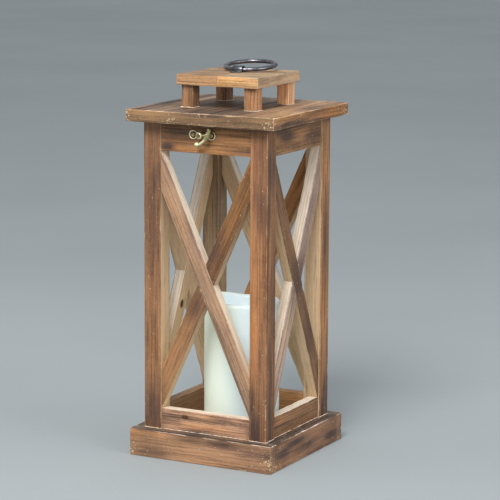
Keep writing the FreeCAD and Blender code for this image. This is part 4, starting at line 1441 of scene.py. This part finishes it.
def fastener_points(solid, way, head_height, slotted):
    """A screw or brad that fills its solid's box: a shank, and a rounded head with a slot in it."""
    way = np.array(way, float)
    axis = int(np.argmax(np.abs(way)))
    low, high = solid.min(axis=0), solid.max(axis=0)
    length = high[axis] - low[axis]
    widest = np.delete(high - low, axis)[0] / 2
    base = (low + high) / 2
    base[axis] = low[axis] if way[axis] > 0 else high[axis]
    shank = min(widest * 0.55, 1.2 * MM)
    head_foot = length - head_height
    profile = [(AXIS_GAP, 0), (shank * 0.5, 0), (shank, 0.8 * MM), (shank, head_foot - 0.05 * MM)]
    profile.append((widest, head_foot))
    for angle in np.linspace(0.15, 1, 7)[:-1] * math.pi / 2:
        reach = widest * (0.25 + 0.75 * math.cos(angle))
        profile.append((reach, head_foot + head_height * math.sin(angle)))
    profile += [(widest * 0.2, length), (AXIS_GAP, length)]
    points, faces = revolve(profile, 24, (0, 0, 0))
    if slotted:
        half, deep = widest * 0.17, head_height * 0.55
        on_head = points[:, Z_AXIS] > length - head_height * 0.98
        points[(np.abs(points[:, X_AXIS]) < half) & on_head, Z_AXIS] -= deep
    return faced(points, way, base), faces


SCREWS = (
    # node, slot, the way that the heads face, and the heads' height in mm
    ("catch_screws", "screw_brass", (0, -1, 0), 0.8),
    ("hinge_frame_screws", "screw_brass", (0, 1, 0), 0.7),
    ("hinge_lid_screws", "screw_brass", (0, 0, -1), 0.7),
    ("hook_bracket_screws", "screw_brass", (0, 0, -1), 0.7),
    ("ring_saddle_screws", "screw_steel", (0, 0, 1), 0.6),
)
BRAD_HEAD = 0.25 * MM
# brads of the lid whose middle is lower than this go up into the roof
LOW_LID_BRADS = 0.42


def make_screws():
    for node, slot, way, head in SCREWS:
        parts = [fastener_points(solid, way, head * MM, True) for solid in islands(node)]
        stand_for(new_piece("heads_" + node, *joined(parts)), node, slot)


def make_brads():
    """Brads whose heads face out of the lantern, but down where they are under the roof."""
    for node in ("frame_brads", "lid_brads"):
        parts = []
        for solid in islands(node):
            axis = int(np.argmax(np.ptp(solid, axis=0)))
            way = np.zeros(3)
            way[axis] = 1.0 if solid[:, axis].mean() > 0 else -1.0
            if node == "lid_brads" and solid[:, Z_AXIS].mean() < LOW_LID_BRADS:
                way[axis] = -1.0
            parts.append(fastener_points(solid, way, BRAD_HEAD, False))
        stand_for(new_piece("heads_" + node, *joined(parts)), node, "brad_steel")


CAD_PIECES = (
    # CAD nodes shown with their own outline: node, slot, and how far the edges are eased in mm
    ("ring_saddle", "ring_metal", 0.35),
    ("hinge_frame_leaves", "hinge_brass", 0.18),
    ("hinge_lid_leaves", "hinge_brass", 0.18),
    ("hinge_pins", "hinge_brass", 0.15),
    ("hook_bracket", "latch_brass", 0.25),
    ("hook_rivet", "latch_brass", 0.2),
    ("candle_core", "core_plastic", 0.3),
    ("candle_battery_cover", "core_plastic", 0.3),
    ("candle_batteries", "battery_steel", 0.3),
    ("candle_switch", "switch_plastic", 0.25),
)


# CAD nodes darkened all over as painted shade, as dark as the metal in a recess
SHADED_PIECES = {"hook_bracket": 0.95}


def dress_cad_pieces():
    for node, slot, width in CAD_PIECES:
        piece = frame["nodes"][node]
        if node in SHADED_PIECES:
            dark = np.full(len(piece.data.vertices), SHADED_PIECES[node])
            add_attributes(piece.data, {"recess_and_shade": dark})
        ease_edges(piece, width * MM)
        finish_piece(piece, slot)


# ---- the floor, the light and the camera ----

# which way the camera looks from, how far down it looks and how far it is tilted to one side
CAMERA_AZIMUTH = math.radians(27.95)
CAMERA_PITCH = math.radians(10.0)
CAMERA_ROLL = math.radians(0.2975)
# in metres; the lens and the sensor are in mm
CAMERA_DISTANCE = 2.6229
CAMERA_LENS = 161.43
CAMERA_SENSOR = 36.0
# the point at the middle of the view, to the right of the lantern's axis and above the floor
TARGET_RIGHT = 0.01418
TARGET_UP = 0.2370
STAGE_REACH = 14.0


def make_camera():
    """A long lens in front of the lantern and to its right, a little above it, aimed down at it."""
    right = Vector((math.cos(CAMERA_AZIMUTH), math.sin(CAMERA_AZIMUTH), 0))
    level = Vector((-math.sin(CAMERA_AZIMUTH), math.cos(CAMERA_AZIMUTH), 0))
    ahead = level * math.cos(CAMERA_PITCH) - Vector((0, 0, math.sin(CAMERA_PITCH)))
    above = right.cross(ahead)
    rolled_right = math.cos(CAMERA_ROLL) * right + math.sin(CAMERA_ROLL) * above
    rolled_up = math.cos(CAMERA_ROLL) * above - math.sin(CAMERA_ROLL) * right
    target = right * TARGET_RIGHT + Vector((0, 0, TARGET_UP))
    lens = bpy.data.cameras.new("camera")
    lens.lens = CAMERA_LENS
    lens.sensor_width = CAMERA_SENSOR
    camera = bpy.data.objects.new("camera", lens)
    bpy.context.scene.collection.objects.link(camera)
    placed = camera.matrix_world.to_4x4()
    for row in range(3):
        placed[row][0] = rolled_right[row]
        placed[row][1] = rolled_up[row]
        placed[row][2] = -ahead[row]
        placed[row][3] = (target - ahead * CAMERA_DISTANCE)[row]
    camera.matrix_world = placed
    bpy.context.scene.camera = camera


LIT_POINT = Vector((0, 0, 0.25))
SKY_COLOUR = (0.93, 0.97, 1.0, 1)
SKY_STRENGTH = 0.62


def area_light(name, azimuth, elevation, distance, width, power, colour):
    """A soft light round the lantern; azimuth 0 is in front of it and 90 to its right."""
    light = bpy.data.lights.new(name, "AREA")
    light.shape = "DISK"
    light.size = width
    light.energy = power
    light.color = colour
    lamp = bpy.data.objects.new(name, light)
    bpy.context.scene.collection.objects.link(lamp)
    turn, rise = math.radians(azimuth), math.radians(elevation)
    way = Vector((math.sin(turn) * math.cos(rise), -math.cos(turn) * math.cos(rise), math.sin(rise)))
    lamp.location = way * distance + LIT_POINT
    lamp.rotation_mode = "QUATERNION"
    lamp.rotation_quaternion = way.to_track_quat("Z", "Y")


def make_stage():
    """A level floor far past the camera's view, a pale sky and two soft lights."""
    grid = np.linspace(-STAGE_REACH, STAGE_REACH, 9)
    across, back = np.meshgrid(grid, grid, indexing="ij")
    points = np.stack([across.ravel(), back.ravel(), np.zeros(across.size)], axis=1)
    index = np.arange(across.size).reshape(across.shape)
    corners = (index[:-1, :-1], index[1:, :-1], index[1:, 1:], index[:-1, 1:])
    floor = new_piece("stage_floor", points, np.stack([c.ravel() for c in corners], axis=1).tolist())
    floor.data.materials.append(floor_material())
    world = bpy.data.worlds.new("sky")
    world.use_nodes = True
    sky = world.node_tree.nodes["Background"]
    sky.inputs["Color"].default_value = SKY_COLOUR
    sky.inputs["Strength"].default_value = SKY_STRENGTH
    bpy.context.scene.world = world
    area_light("key", 10, 47, 3.4, 1.7, 108, (1.0, 0.98, 0.95))
    area_light("fill", 80, 22, 3.6, 2.2, 38, (0.96, 0.98, 1.0))
    bpy.context.scene.view_settings.view_transform = "Standard"


make_wood()
make_block_glue()
make_foot_glue()
make_floor_board()
make_candle()
make_flame()
make_ring()
make_hook()
make_catch_plate()
make_catch_stud()
make_screws()
make_brads()
dress_cad_pieces()
make_stage()
make_camera()
